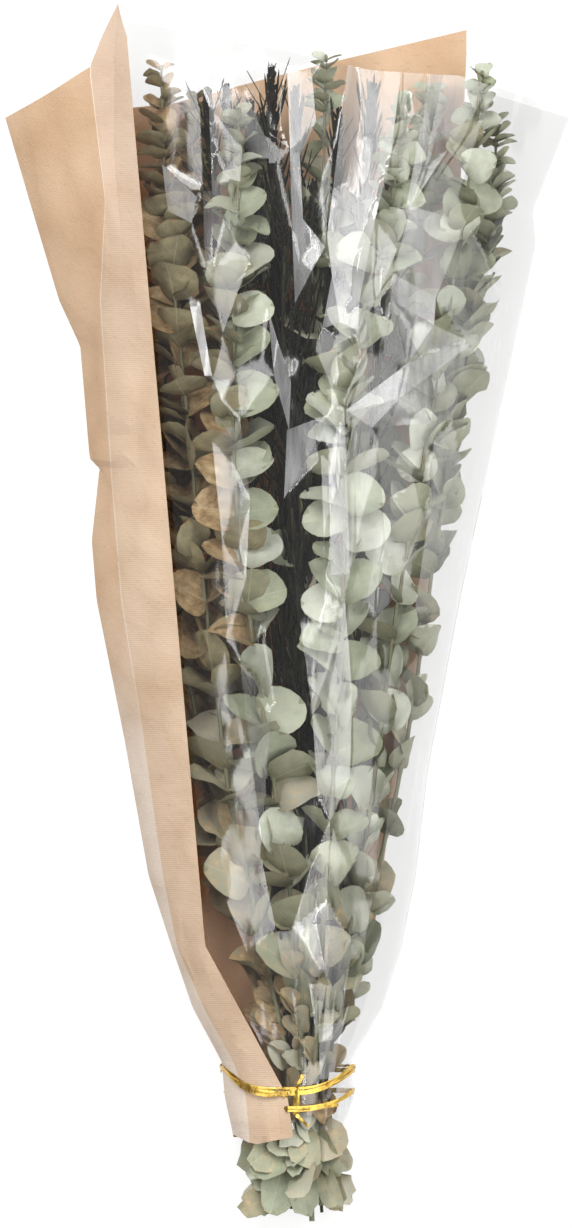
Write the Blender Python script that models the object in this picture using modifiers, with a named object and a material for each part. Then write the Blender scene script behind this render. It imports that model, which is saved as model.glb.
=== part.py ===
"""A bunch of dried eucalyptus and lavender in a paper and film sleeve, lying on its paper back.

+Y runs from the cut stems to the mouth of the sleeve, +X to the right seen from above, and +Z up.
The origin is on the table under the middle of the bunch. Tables below are in millimetres.
"""

import math
import random
from dataclasses import dataclass

import bmesh
import bpy
import numpy as np
from mathutils import Quaternion, Vector, geometry
from mathutils.bvhtree import BVHTree

MM = 0.001

# Sleeve: each line is a list of (value, y) points, read between them by y.
LEFT_FOLD = (
    (-31, -297), (-35.6, -276), (-37.3, -256), (-54, -225), (-66, -190), (-79, -150),
    (-92.6, -73), (-108.6, 7), (-111.4, 41), (-107, 82), (-112.6, 88), (-118, 152),
    (-130, 178), (-147, 235), (-160.7, 282),
)
RIGHT_FOLD = (
    (30, -297), (38, -276), (36, -256), (54, -225), (65, -190), (73, -150), (80, -90),
    (98.3, 7), (141.6, 210), (140, 229), (160.7, 282),
)
CREST = (
    (30, -297), (32, -276), (34, -256), (42, -225), (57, -150), (68, -73), (76, 7), (82, 110),
    (86, 230), (83, 345),
)
FULLNESS = ((0.5, -256), (0.62, -150), (0.72, 0), (0.85, 282))
SQUARENESS = 2.2
BACK_LIFT = ((2.6, -256), (0, -225))
FLAP_EDGE = ((3, -297), (0, -276), (-47, -190), (-91.5, 326))
FLAP_LAP = ((13, 262), (5.2, 345))
FLAP_CREASE = (
    (-22, -297), (-24, -276), (-31, -256), (-48, -225), (-63, -190), (-71, -150), (-84, -60),
    (-95, 7), (-101, 82), (-107, 178), (-104, 235), (-112.6, 306),
)
CREASE_RISE = ((0, 88), (5, 262))
PAPER_EDGE = (
    (12, -297), (14, -276), (34, -225), (48, -190), (60, -107), (81, 7), (95.5, 178), (102, 318),
)
SHEET_THICKNESS = 0.6
SHEET_GAP = 0.3
EDGE_RISE = 6.0
FOLD_INSET = 0.4
PAPER_FOLD_RISE, FILM_FOLD_RISE = 1, 0.8
FILM_DROP = 1.9
FILM_LAP = 14
SHEET_ROWS = (-276, -256, -225, -190, -150, -108, -60, -15, 35, 82, 88, 130, 170, 210, 240, 262)
PAPER_FOOT, FILM_FOOT = -299, -295
PAPER_TOPS = (328, 347, 311, 296, 282, 282, 282, 290, 312, 332)
PAPER_BACK_SHARES = (0.06, 0.36, 0.68, 1)
FILM_TOPS = (338, 337, 329, 320, 309, 306, 294, 282, 282, 291, 300, 300)
FILM_FRONT_SHARES = (0.17, 0.36, 0.55, 0.75, 0.9, 1)

# Tie: two turns of ribbon and a twist, round the neck.
NECK_Y = -268
TIE_RADIUS = 0.9
TIE_TURNS = ((-260, 12), (-269, 12))
TIE_TWIST = (4.2, 8.2, 2.2)
TIE_TWIST_PLACE = (2, -276)
RING_STEP = 2
RING_CORNER = 0.6

# Strands stand in a grid at the neck, where each eucalyptus stem has lavender on every side.
STATIONS = (-347, -316, -290, -268, -246, -206, -158, -108, -56, 0, 56, 108, 158, 210, 262, 318)
NECK_X, NECK_FLOOR = 8, 6.4
CELL_WIDTH, CELL_HEIGHT = 3.5, 3.35
CUT_SPREAD = 1.7
STEM_BASE_RADIUS, STEM_TIP_RADIUS = 1.8, 0.8
STALK_RADIUS = 0.95
STRAND_GAP = 0.8
STRAND_STEP = 6
RELAX_ROUNDS, RELAX_STRENGTH = 160, 1.3
END_ROOM = 8

# Each eucalyptus stem: its cell at the neck, its cut end, how far apart its leaf pairs are (1 is the full
# foliage, more on a stem that others hide), and its way (x, y, share of the inner height).
EUCALYPTUS = (
    ((3, 3), -325, 1.0, (
        (-27, 288, 0.7), (-30, 178, 0.72), (-31.6, 75, 0.72),
        (-20, -16, 0.7), (-5.4, -113, 0.66), (7, -198, 0.6),
    )),
    ((5, 3), -338, 1.0, (
        (70, 292, 0.7), (50, 184, 0.72), (33, 144, 0.72),
        (33, 30, 0.72), (27, -84, 0.68), (20, -180, 0.6),
    )),
    ((6, 2), -332, 1.0, (
        (112, 309, 0.6), (98, 207, 0.64), (75.5, 75, 0.66),
        (61, -4, 0.64), (50, -95, 0.6), (33, -198, 0.52),
    )),
    ((1, 3), -318, 1.15, (
        (-72, 312, 0.42), (-70, 235, 0.5), (-58, 121, 0.56),
        (-47, 7, 0.56), (-33, -107, 0.56), (-8, -215, 0.52),
    )),
    ((4, 2), -347, 1.5, (
        (22, 318, 0.45), (20, 220, 0.46), (10, 110, 0.44),
        (4, 0, 0.42), (10, -110, 0.4), (12, -200, 0.4),
    )),
    ((6, 0), -329, 1.6, (
        (121, 282, 0.36), (112, 200, 0.36), (96, 110, 0.36),
        (82, 20, 0.36), (68, -80, 0.34), (40, -195, 0.3),
    )),
    ((0, 2), -341, 1.8, (
        (-50, 296, 0.24), (-62, 200, 0.26), (-72, 110, 0.3),
        (-66, 10, 0.32), (-42, -110, 0.32), (-12, -205, 0.34),
    )),
    ((2, 0), -335, 2.6, (
        (-14, 282, 0.2), (-26, 190, 0.2), (-34, 90, 0.2),
        (-30, -10, 0.2), (-16, -120, 0.22), (0, -210, 0.24),
    )),
    ((4, 0), -344, 2.6, (
        (84, 300, 0.24), (70, 210, 0.22), (58, 110, 0.2),
        (50, 10, 0.2), (40, -100, 0.2), (20, -205, 0.22),
    )),
    ((3, 1), -322, 2.6, (
        (40, 238, 0.26), (30, 150, 0.22), (18, 50, 0.2),
        (10, -50, 0.2), (10, -150, 0.22), (9, -215, 0.26),
    )),
)

# Leaves that stand out, each put in its place: its stem, where it leaves it, the way from there to its tip,
# its width, and how far its face is rolled from facing up, in degrees.
PLACED_LEAVES = (
    (7, -300, (-19, -19, -3), 27, 4),
    (4, -300, (-19, -15, 12), 24, -10),
    (7, -327, (-16, -13, -2), 18, 0),
    (3, -305, (14, -13, 6), 15, -10),
    (3, -321, (5, -22, 2), 15, 8),
    (4, -316.5, (-7, -27, 4), 22, -6),
    (1, -322, (2, -23, 3), 18, 0),
    (1, -302, (7, -25, 8), 14, 12),
    (2, -298, (12, -27, 9), 14, 10),
    (1, 57, (-24, 5, 2), 29, 0),
    (1, 57, (23, 4, 2), 29, 4),
    (1, 122, (25, 6, 3), 25, 0),
    (2, 10, (-17, 20, 3), 27, 6),
    (2, 10, (20, 16, 3), 27, -4),
    (2, 44, (25, 8, 2), 28, 10),
)

# Leaves: opposite pairs, each pair about a quarter turn from the last. Growth is counted from the tip down.
LEAF_SIDES = 8
LEAF_THICKNESS = 1.4
LEAF_RIDGE = 0.27
LEAF_BELLY, LEAF_BASE_TAPER, LEAF_TIP_TAPER = 1.04, 1.3, 0.15
LEAF_LENGTH = (9, 26)
LEAF_GROWTH = 105
CUT_LEAF_SIZE = 0.85
PAIR_SPACING = (8, 23.5)
FIRST_PAIR, LAST_PAIR = 3, 4
PAIR_DRIFT = 0.12
LEAF_CLEARANCE = 0.45
LEAF_REACH = 0.66
ROOT_DEPTH = 0.7
BARE_NECK = (-291, -246)
PLACED_ROOM = 11
PLACED_CURL, PLACED_CUP = 0.06, 0.1

# How a grown leaf may stand: each is a range, or a start and what each further try adds. Pitch is in degrees.
LEAF_TRIES = 9
HIDDEN_SPREAD = 1.2
FLATTENED = 0.5
TURN_SPREAD = (0.12, 0.1)
PITCH, PITCH_IN_FRONT, PITCH_SPREAD, PITCH_STEP = 14, 34, (9, 4), 3
CUT_PITCH = (24, 58)
CROWDED_Y, CROWDED_PITCH = -190, 18
FACING_SHOWN, FACING_HIDDEN = (0.25, 0.95), (0.1, 0.8)
SIZE_RANGE, SIZE_STEP = (0.9, 1.08), 0.035
WIDTH_RANGE, CURL_RANGE, CUP_RANGE = (1.0, 1.2), (-0.08, 0.2), (0.02, 0.2)

# Lavender: its cell at the neck, its cut end, and its spike's tip (x, y, share of the inner height).
LAVENDER = (
    ((0, 3), -330, (-47, 298, 0.5)),
    ((2, 3), -322, (-9, 313, 0.52)),
    ((4, 3), -334, (4, 300, 0.6)),
    ((6, 3), -326, (50, 302, 0.5)),
    ((1, 2), -338, (-36, 301, 0.34)),
    ((3, 2), -330, (-2, 262, 0.6)),
    ((5, 2), -342, (30, 288, 0.46)),
    ((7, 2), -325, (62, 262, 0.46)),
    ((0, 1), -322, (-22, 292, 0.44)),
    ((2, 1), -340, (-6, 214, 0.52)),
    ((4, 1), -336, (14, 246, 0.56)),
    ((6, 1), -324, (20, 196, 0.54)),
    ((1, 0), -334, (-10, 158, 0.5)),
    ((3, 0), -328, (5, 184, 0.56)),
    ((5, 0), -338, (13, 142, 0.54)),
    ((7, 0), -331, (3, 112, 0.56)),
)
SPIKE_LENGTH, SPIKE_RADIUS = 52, 4.6
SPIKE_SIDES, SPIKE_RINGS = 6, 7
SPIKE_GAP = 0.4
SPIKE_LEAN = 0.9
SPIKE_ENDS, SPIKE_BLUNTNESS = (0.12, 0.8), 0.6
BUD_VALLEY = 0.66

# Finishes: colour, metallic, roughness and alpha.
FINISHES = {
    "kraft_paper": ((0.78, 0.58, 0.40, 1), 0, 0.85, 1),
    "clear_film": ((0.92, 0.94, 0.95, 1), 0, 0.25, 0.3),
    "gold_ribbon": ((0.85, 0.6, 0.12, 1), 1, 0.25, 1),
    "eucalyptus": ((0.42, 0.46, 0.36, 1), 0, 0.85, 1),
    "lavender_stalk": ((0.2, 0.19, 0.12, 1), 0, 0.85, 1),
    "lavender_flower": ((0.07, 0.06, 0.08, 1), 0, 0.85, 1),
}


def clear_scene():
    for thing in list(bpy.data.objects):
        bpy.data.objects.remove(thing)


def material(name):
    """The material of that name, made the first time that it is asked for."""
    if name in bpy.data.materials:
        return bpy.data.materials[name]
    colour, metallic, roughness, alpha = FINISHES[name]
    made = bpy.data.materials.new(name)
    made.use_nodes = True
    shader = made.node_tree.nodes["Principled BSDF"]
    shader.inputs["Base Color"].default_value = colour
    shader.inputs["Metallic"].default_value = metallic
    shader.inputs["Roughness"].default_value = roughness
    shader.inputs["Alpha"].default_value = alpha
    return made


def add_object(name, data, finish):
    thing = bpy.data.objects.new(name, data)
    BUNCH.objects.link(thing)
    data.materials.append(material(finish))
    return thing


def mesh_from(bm, name):
    data = bpy.data.meshes.new(name)
    bm.to_mesh(data)
    bm.free()
    return data


def at(line, y):
    """Reads a line of (value, y) points at y. Past its ends it keeps its end values."""
    values, heights = zip(*line)
    return float(np.interp(y, heights, values))


def top_z(x, y):
    """Middle of the front sheet: low at the two folds, highest between them."""
    left, right = at(LEFT_FOLD, y), at(RIGHT_FOLD, y)
    share = min(1.0, abs(2 * (x - left) / (right - left) - 1))
    bulge = (1 - share**SQUARENESS) ** at(FULLNESS, y)
    return at(BACK_LIFT, y) + EDGE_RISE + (at(CREST, y) - EDGE_RISE) * bulge


def paper_section(y):
    """Points (x, z) of the kraft sheet at y, from the flap over the left fold to the back's edge."""
    left, right = at(LEFT_FOLD, y), at(PAPER_EDGE, y)
    edge, crease = at(FLAP_EDGE, y), at(FLAP_CREASE, y)
    front = [(x, top_z(x, y)) for x in (edge, edge - at(FLAP_LAP, y), crease, (crease + left) / 2, left)]
    front[2] = (crease, front[2][1] + at(CREASE_RISE, y))
    low = at(BACK_LIFT, y) + SHEET_THICKNESS / 2
    back = [(left + share * (right - left), low) for share in PAPER_BACK_SHARES]
    return front + [(left + FOLD_INSET, low + PAPER_FOLD_RISE)] + back


def film_section(y):
    """Points (x, z) of the film at y, from under the flap over the right fold to inside the kraft."""
    right, paper, edge = at(RIGHT_FOLD, y), at(PAPER_EDGE, y), at(FLAP_EDGE, y)
    bare = [edge + share * (right - edge) for share in FILM_FRONT_SHARES]
    front = [(x, top_z(x, y) - FILM_DROP) for x in (edge - at(FLAP_LAP, y), edge, *bare)]
    low = at(BACK_LIFT, y) + 1.5 * SHEET_THICKNESS + SHEET_GAP
    back = [((right + paper) / 2, low), (paper, low), (paper - FILM_LAP, low)]
    return front + [(right - FOLD_INSET, low + FILM_FOLD_RISE)] + back


def add_sheet(name, section, foot, tops, finish):
    """Bends a flat grid into a sheet of the sleeve and gives it its thickness."""
    bm = bmesh.new()
    columns, rows = len(tops), len(SHEET_ROWS) + 2
    bmesh.ops.create_grid(bm, x_segments=columns - 1, y_segments=rows - 1, size=1)
    for vert in bm.verts:
        column = round((vert.co.x + 1) / 2 * (columns - 1))
        row = round((vert.co.y + 1) / 2 * (rows - 1))
        y = (foot, *SHEET_ROWS, tops[column])[row]
        x, z = section(y)[column]
        vert.co = Vector((x, y, z)) * MM
    bmesh.ops.triangulate(bm, faces=bm.faces, quad_method="SHORT_EDGE")
    sheet = add_object(name, mesh_from(bm, name), finish)
    wall = sheet.modifiers.new("thickness", "SOLIDIFY")
    wall.thickness = SHEET_THICKNESS * MM
    wall.offset = 0
    return sheet


def neck_ring(y, dip):
    """Points of a closed ring just outside the sleeve at y, which dips by that much across the front."""
    sections = (part(height) for part in (paper_section, film_section) for height in (y, y - dip))
    points = [Vector(p) for section in sections for p in section]
    hull = [points[i] for i in geometry.convex_hull_2d(points)]
    hull = [p for i, p in enumerate(hull) if (p - hull[i - 1]).length > RING_STEP]
    middle = sum(hull, Vector((0, 0))) / len(hull)
    reach = max(abs(p.x - middle.x) for p in hull)
    out = SHEET_THICKNESS / 2 + SHEET_GAP + TIE_RADIUS
    ring = []
    for i, p in enumerate(hull):
        before, after = (p - hull[i - 1]).normalized(), (hull[(i + 1) % len(hull)] - p).normalized()
        side = (before + after).normalized()
        outward = Vector((side.y, -side.x))
        if outward.dot(p - middle) < 0:
            outward.negate()
        moved = p + outward * (out / max(RING_CORNER, abs(side.dot(after))))
        front = max(0.0, 1 - ((p.x - middle.x) / reach) ** 2) if p.y > middle.y else 0.0
        ring.append(Vector((moved.x, y - dip * front, moved.y)))
    return ring


def tube(name, points, radii, sides_level, closed=False):
    """A mesh tube along the points, which taper between their radii. Millimetres in, metres out."""
    curve = bpy.data.curves.new(name, "CURVE")
    curve.dimensions = "3D"
    curve.bevel_depth = radii[0] * MM
    curve.bevel_resolution = sides_level
    curve.use_fill_caps = True
    spline = curve.splines.new("POLY")
    spline.points.add(len(points) - 1)
    for place, point, radius in zip(spline.points, points, radii):
        place.co = (*(Vector(point) * MM), 1)
        place.radius = radius / radii[0]
    spline.use_cyclic_u = closed
    drawn = bpy.data.objects.new(name, curve)
    bpy.context.scene.collection.objects.link(drawn)
    graph = bpy.context.evaluated_depsgraph_get()
    data = bpy.data.meshes.new_from_object(drawn.evaluated_get(graph))
    bpy.data.objects.remove(drawn)
    bm = bmesh.new()
    bm.from_mesh(data)
    bmesh.ops.remove_doubles(bm, verts=bm.verts, dist=0.00001)
    bmesh.ops.recalc_face_normals(bm, faces=bm.faces)
    bm.to_mesh(data)
    bm.free()
    data.name = name
    return data


def fuse(base, parts):
    """Joins the parts to the base by one Boolean union, and removes them."""
    group = bpy.data.collections.new("to fuse")
    bpy.context.scene.collection.children.link(group)
    for part in parts:
        group.objects.link(part)
    union = base.modifiers.new("union", "BOOLEAN")
    union.operation = "UNION"
    union.operand_type = "COLLECTION"
    union.collection = group
    union.solver = "MANIFOLD"
    bpy.context.view_layer.objects.active = base
    bpy.ops.object.modifier_apply(modifier=union.name)
    for part in parts:
        bpy.data.objects.remove(part)
    bpy.data.collections.remove(group)


def add_tie():
    """Two ribbon turns round the neck, held together by a twist on the front."""
    turns = []
    for y, dip in TIE_TURNS:
        ring = neck_ring(y, dip)
        turns.append(tube("ribbon turn", ring, [TIE_RADIUS] * len(ring), 1, closed=True))
    tie = add_object("gold_tie", turns[0], "gold_ribbon")
    second_turn = bpy.data.objects.new("ribbon turn", turns[1])
    bm = bmesh.new()
    bmesh.ops.create_uvsphere(bm, u_segments=8, v_segments=5, radius=1)
    x, y = TIE_TWIST_PLACE
    lift = top_z(x, y) + SHEET_THICKNESS / 2 + SHEET_GAP + TIE_TWIST[2]
    bmesh.ops.scale(bm, vec=TIE_TWIST, verts=bm.verts)
    bmesh.ops.translate(bm, vec=(x, y, lift), verts=bm.verts)
    bmesh.ops.scale(bm, vec=(MM, MM, MM), verts=bm.verts)
    twist = bpy.data.objects.new("twist", mesh_from(bm, "twist"))
    fuse(tie, [second_turn, twist])


def cell_place(cell, spread=1.0):
    """Centre (x, z) of a cell of the strands' grid at the neck."""
    column, row = cell
    return NECK_X + (column - 3) * CELL_WIDTH * spread, NECK_FLOOR + row * CELL_HEIGHT


def inner_z(x, y, share):
    """Height between the back and the front sheet, as a share."""
    low = at(BACK_LIFT, y) + 1.5 * SHEET_THICKNESS
    return low + share * (top_z(x, y) - FILM_DROP - low)


def first_ways():
    """Each strand's (x, z) at every station before they are spread, with its ends and its spike's in y."""
    ways, ends, spikes = [], [], []
    for cell, cut, _, way in EUCALYPTUS:
        ends.append((cut, way[0][1]))
        spikes.append(None)
        ways.append(way_at_stations(cell, [(x, inner_z(x, y, share), y) for x, y, share in way]))
    for cell, cut, (x, y, share) in LAVENDER:
        ends.append((cut, y))
        spikes.append((y - SPIKE_LENGTH, y))
        foot = y - SPIKE_LENGTH
        low_x = x * SPIKE_LEAN
        spike = [(x, inner_z(x, y, share), y), (low_x, inner_z(low_x, foot, share), foot)]
        ways.append(way_at_stations(cell, spike))
    return np.array(ways), ends, spikes


def way_at_stations(cell, way):
    """Reads a way of (x, z, y) points, which ends in its cell at the neck, at each station."""
    neck_x, neck_z = cell_place(cell)
    cut_x, cut_z = cell_place(cell, CUT_SPREAD)
    points = [(cut_x, cut_z, STATIONS[0]), (neck_x, neck_z, NECK_Y), *sorted(way, key=lambda p: p[2])]
    xs, zs, ys = zip(*points)
    return [(np.interp(y, ys, xs), np.interp(y, ys, zs)) for y in STATIONS]


def stem_radius(y, cut, tip):
    share = (y - cut) / (tip - cut)
    return STEM_BASE_RADIUS + share * (STEM_TIP_RADIUS - STEM_BASE_RADIUS)


def spread_ways(ways, ends, spikes):
    """Pushes strands apart at close heights until each has its own room, with the neck held still."""
    heights = np.arange(STATIONS[0], STATIONS[-1] + 1, STRAND_STEP, dtype=float)
    weights = np.array([[np.interp(y, STATIONS, row) for row in np.eye(len(STATIONS))] for y in heights])
    room = np.zeros((len(ways), len(heights)))
    for strand, ((cut, tip), spike) in enumerate(zip(ends, spikes)):
        for step, y in enumerate(heights):
            if spike and spike[0] - STRAND_STEP < y < spike[1] + STRAND_STEP:
                room[strand, step] = SPIKE_RADIUS + STRAND_GAP
            elif cut - STRAND_STEP < y < tip + STRAND_STEP:
                radius = STALK_RADIUS if spike else stem_radius(y, cut, tip)
                room[strand, step] = radius + STRAND_GAP / 2
    present = room > 0
    both = present[:, None] & present[None]
    needed = room[:, None] + room[None]
    free = np.array([abs(y - NECK_Y) > 1 for y in STATIONS], float)
    total = weights.sum(0)
    for _ in range(RELAX_ROUNDS):
        fine = np.einsum("hs,nsk->nhk", weights, ways)
        apart = fine[:, None] - fine[None]
        distance = np.sqrt((apart**2).sum(-1)) + 1e-6
        push = np.where(both & (distance < needed), (needed - distance) / 2, 0.0)
        for strand in range(len(ways)):
            push[strand, strand] = 0
        moved = (apart / distance[..., None] * push[..., None]).sum(1)
        pull = np.einsum("hs,nhk->nsk", weights, moved) / total[None, :, None]
        ways = ways + pull * free[None, :, None] * RELAX_STRENGTH
        ways = keep_inside(ways, room, heights)
    return ways


def keep_inside(ways, room, heights):
    """Holds every strand between the back and the front sheet."""
    for strand, way in enumerate(ways):
        for station, y in enumerate(STATIONS):
            reach = np.interp(y, heights, room[strand])
            low = at(BACK_LIFT, y) + 3 * SHEET_THICKNESS + reach
            high = top_z(way[station][0], y) - FILM_DROP - SHEET_THICKNESS - reach
            if y > PAPER_FOOT:
                way[station][1] = min(way[station][1], high)
            way[station][1] = max(way[station][1], low)
    return ways


def way_point(way, y):
    """A strand's middle at y."""
    return Vector((np.interp(y, STATIONS, way[:, 0]), y, np.interp(y, STATIONS, way[:, 1])))


def strand_points(way, low, high):
    """A strand's points from y low to y high: its two ends and each station between."""
    between = [y for y in STATIONS if low + END_ROOM < y < high - END_ROOM]
    return [way_point(way, y) for y in (low, *between, high)]


@dataclass
class Leaf:
    """One round blade: where it leaves the stem, where it points, where its face looks, and its form."""

    base: Vector
    along: Vector
    normal: Vector
    length: float
    width: float
    curl: float
    cup: float

    def point(self, out, side, lift):
        """A point of the blade: out runs from 0 at the stem to 1 at the tip, side from -1 to 1."""
        bend = self.cup * side * side * self.width / 2 - self.curl * out * out * self.length
        across = self.normal.cross(self.along)
        flat = self.base + self.along * (out * self.length) + across * (side * self.width / 2)
        return flat + self.normal * (bend + lift)

    def shape(self, grow=0.0):
        """A thin lens: a coarse sphere whose rim becomes the outline, and whose poles the two faces."""
        bm = bmesh.new()
        bmesh.ops.create_uvsphere(bm, u_segments=LEAF_SIDES, v_segments=2, radius=1)
        larger = 1 + 2 * grow / self.length
        for vert in bm.verts:
            x, y, z = vert.co
            if abs(z) > 0.5:
                vert.co = self.point(LEAF_RIDGE, 0, math.copysign(LEAF_THICKNESS / 2 + grow, z))
            else:
                fullness = LEAF_BELLY - (LEAF_BASE_TAPER if x < 0 else LEAF_TIP_TAPER) * x * x
                vert.co = self.point((1 + x * larger) / 2, y * larger * fullness, 0)
        return bm


def leaf_choice(rng, stem_point, tangent, radius, angle, length, attempt, shown):
    """Draws one way in which a leaf could stand: first the natural ones, then ones that give way."""
    side = Vector((tangent.y, -tangent.x, 0)).normalized()
    front = side.cross(tangent)
    if front.z < 0:
        front.negate()
    angle += rng.gauss(0, TURN_SPREAD[0] + TURN_SPREAD[1] * attempt)
    outward = side * math.cos(angle) + front * (FLATTENED * math.sin(angle))
    outward.normalize()
    below = stem_point.y < NECK_Y
    pitch = PITCH + PITCH_IN_FRONT * abs(math.sin(angle)) + PITCH_STEP * attempt
    pitch += rng.gauss(0, PITCH_SPREAD[0] + PITCH_SPREAD[1] * attempt)
    if below:
        pitch = -rng.uniform(*CUT_PITCH)
    elif stem_point.y < CROWDED_Y:
        pitch += CROWDED_PITCH
    along = outward * math.cos(math.radians(pitch)) + tangent * math.sin(math.radians(pitch))
    along.normalize()
    growing = -tangent if below else tangent
    grown = growing - along * growing.dot(along)
    up = Vector((0, 0, 1)) - along * along.z
    facing = rng.uniform(*(FACING_SHOWN if shown else FACING_HIDDEN))
    normal = grown.normalized() * (1 - facing) + up.normalized() * facing
    normal = (normal - along * normal.dot(along)).normalized()
    size = length * rng.uniform(*SIZE_RANGE) * (1 - SIZE_STEP * attempt)
    width = size * rng.uniform(*WIDTH_RANGE)
    curl, cup = rng.uniform(*CURL_RANGE), rng.uniform(*CUP_RANGE)
    return Leaf(stem_point + outward * (radius * ROOT_DEPTH), along, normal, size, width, curl, cup)


def leaf_slots(points, spread):
    """Places for leaf pairs from the tip down: the point, the tangent, and the length of the leaf."""
    lengths = [0.0]
    down = list(reversed(points))
    for first, second in zip(down, down[1:]):
        lengths.append(lengths[-1] + (second - first).length)
    place = FIRST_PAIR
    while place < lengths[-1] - LAST_PAIR:
        index = max(i for i, so_far in enumerate(lengths[:-1]) if so_far <= place)
        share = (place - lengths[index]) / (lengths[index + 1] - lengths[index])
        grown = min(1.0, place / LEAF_GROWTH)
        length = LEAF_LENGTH[0] + grown * (LEAF_LENGTH[1] - LEAF_LENGTH[0])
        tangent = (down[index] - down[index + 1]).normalized()
        yield down[index].lerp(down[index + 1], share), tangent, length
        place += (PAIR_SPACING[0] + grown * (PAIR_SPACING[1] - PAIR_SPACING[0])) * spread


class Room:
    """What is already in the sleeve, so that a new leaf can be tried against it."""

    def __init__(self):
        self.fixed = {}
        self.leaves = []

    def takes(self, leaf, own):
        grown = leaf.shape(LEAF_CLEARANCE)
        lowest = min(vert.co.z for vert in grown.verts)
        foot = min(vert.co.y for vert in grown.verts)
        tree = BVHTree.FromBMesh(grown)
        grown.free()
        if lowest < LEAF_CLEARANCE or foot < STATIONS[0]:
            return False
        if any(tree.overlap(other) for name, other in self.fixed.items() if name != own):
            return False
        middle = leaf.point(0.5, 0, 0)
        size = leaf.length * LEAF_REACH
        near = [other for centre, reach, other in self.leaves if (centre - middle).length < reach + size]
        return not any(tree.overlap(other) for other in near)

    def add_leaf(self, leaf):
        plain = leaf.shape()
        self.leaves.append((leaf.point(0.5, 0, 0), leaf.length * LEAF_REACH, BVHTree.FromBMesh(plain)))
        plain.free()

    def add_mesh(self, name, data):
        points = [vert.co / MM for vert in data.vertices]
        self.fixed[name] = BVHTree.FromPolygons(points, [tuple(face.vertices) for face in data.polygons])


def placed_leaf(way, ends, y, offset, width, roll):
    """A leaf from the stem at y to a tip at the offset, with its face rolled from facing up."""
    point = way_point(way, y)
    along = Vector(offset).normalized()
    outward = Vector((along.x, 0, along.z)).normalized()
    normal = Vector((0, 0, 1)) - along * along.z
    normal.rotate(Quaternion(along, math.radians(roll)))
    base = point + outward * (stem_radius(y, *ends) * ROOT_DEPTH)
    return Leaf(base, along, normal.normalized(), Vector(offset).length, width, PLACED_CURL, PLACED_CUP)


def place_leaves(ways, ends, room):
    """The leaves that stand out, by the number of their stem."""
    placed = {}
    for number, y, offset, width, roll in PLACED_LEAVES:
        leaf = placed_leaf(ways[number - 1], ends[number - 1], y, offset, width, roll)
        if not room.takes(leaf, stem_name(number)):
            print("no room for the leaf at", number, y, offset)
            continue
        placed.setdefault(number, []).append((y, leaf))
        room.add_leaf(leaf)
    return placed


def grow_leaves(number, points, ends, room, placed):
    """Tries each leaf of the pairs along a stem, and keeps the ones that have room."""
    rng = random.Random(number)
    angle = rng.uniform(0, math.pi)
    spread = EUCALYPTUS[number - 1][2]
    shown = spread < HIDDEN_SPREAD
    kept = [leaf for _, leaf in placed]
    for point, tangent, length in leaf_slots(points, spread):
        angle += math.pi / 2 + rng.gauss(0, PAIR_DRIFT)
        taken = any(abs(point.y - y) < PLACED_ROOM for y, _ in placed)
        if taken or BARE_NECK[0] < point.y < BARE_NECK[1]:
            continue
        if point.y < NECK_Y:
            length *= CUT_LEAF_SIZE
        radius = stem_radius(point.y, *ends)
        pair = []
        for half_turn in (0, math.pi):
            for attempt in range(LEAF_TRIES):
                leaf = leaf_choice(rng, point, tangent, radius, angle + half_turn, length, attempt, shown)
                if room.takes(leaf, stem_name(number)):
                    pair.append(leaf)
                    break
        for leaf in pair:
            room.add_leaf(leaf)
        kept += pair
    return kept


def add_spike(name, foot, tip):
    """A lavender spike: whorls of buds, as rings whose corners stand out by turns."""
    bm = bmesh.new()
    bmesh.ops.create_uvsphere(bm, u_segments=SPIKE_SIDES, v_segments=SPIKE_RINGS + 1, radius=1)
    axis = (tip - foot).normalized()
    side = axis.cross(Vector((0, 0, 1))).normalized()
    front = axis.cross(side)
    for vert in bm.verts:
        x, y, z = vert.co
        ring = round((1 - math.acos(max(-1.0, min(1.0, z))) / math.pi) * (SPIKE_RINGS + 1))
        corner = round(math.atan2(y, x) / math.tau * SPIKE_SIDES)
        along = ring / (SPIKE_RINGS + 1)
        taper = math.sin(math.pi * (SPIKE_ENDS[0] + SPIKE_ENDS[1] * along)) ** SPIKE_BLUNTNESS
        bud = 1.0 if (corner + ring) % 2 else BUD_VALLEY
        turned = math.atan2(y, x)
        reach = 0 if ring in (0, SPIKE_RINGS + 1) else SPIKE_RADIUS * taper * bud
        around = side * math.cos(turned) + front * math.sin(turned)
        vert.co = (foot.lerp(tip, along) + around * reach) * MM
    return add_object(name, mesh_from(bm, name), "lavender_flower")


def stem_name(number):
    return f"eucalyptus_stem_{number:02d}"


def add_stem(number, way, ends, room):
    """One bare eucalyptus stem, with the points that its leaves grow from."""
    points = strand_points(way, *ends)
    radii = [stem_radius(point.y, *ends) for point in points]
    stem = add_object(stem_name(number), tube(stem_name(number), points, radii, 0), "eucalyptus")
    room.add_mesh(stem.name, stem.data)
    return stem, points


def add_lavender(number, way, ends, spike_ends, room):
    """One lavender: its bare stalk, and its flower spike just past the stalk's end."""
    foot, tip = spike_ends
    points = strand_points(way, ends[0], foot - SPIKE_GAP)
    name = f"lavender_stalk_{number:02d}"
    stalk = add_object(name, tube(name, points, [STALK_RADIUS] * len(points), 0), "lavender_stalk")
    spike = add_spike(f"lavender_head_{number:02d}", way_point(way, foot), way_point(way, tip))
    for piece in (stalk, spike):
        room.add_mesh(piece.name, piece.data)


def blade_object(leaf):
    """A leaf as an object in metres, for the union with its stem."""
    bm = leaf.shape()
    bmesh.ops.scale(bm, vec=(MM, MM, MM), verts=bm.verts)
    return bpy.data.objects.new("leaf", mesh_from(bm, "leaf"))


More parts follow.
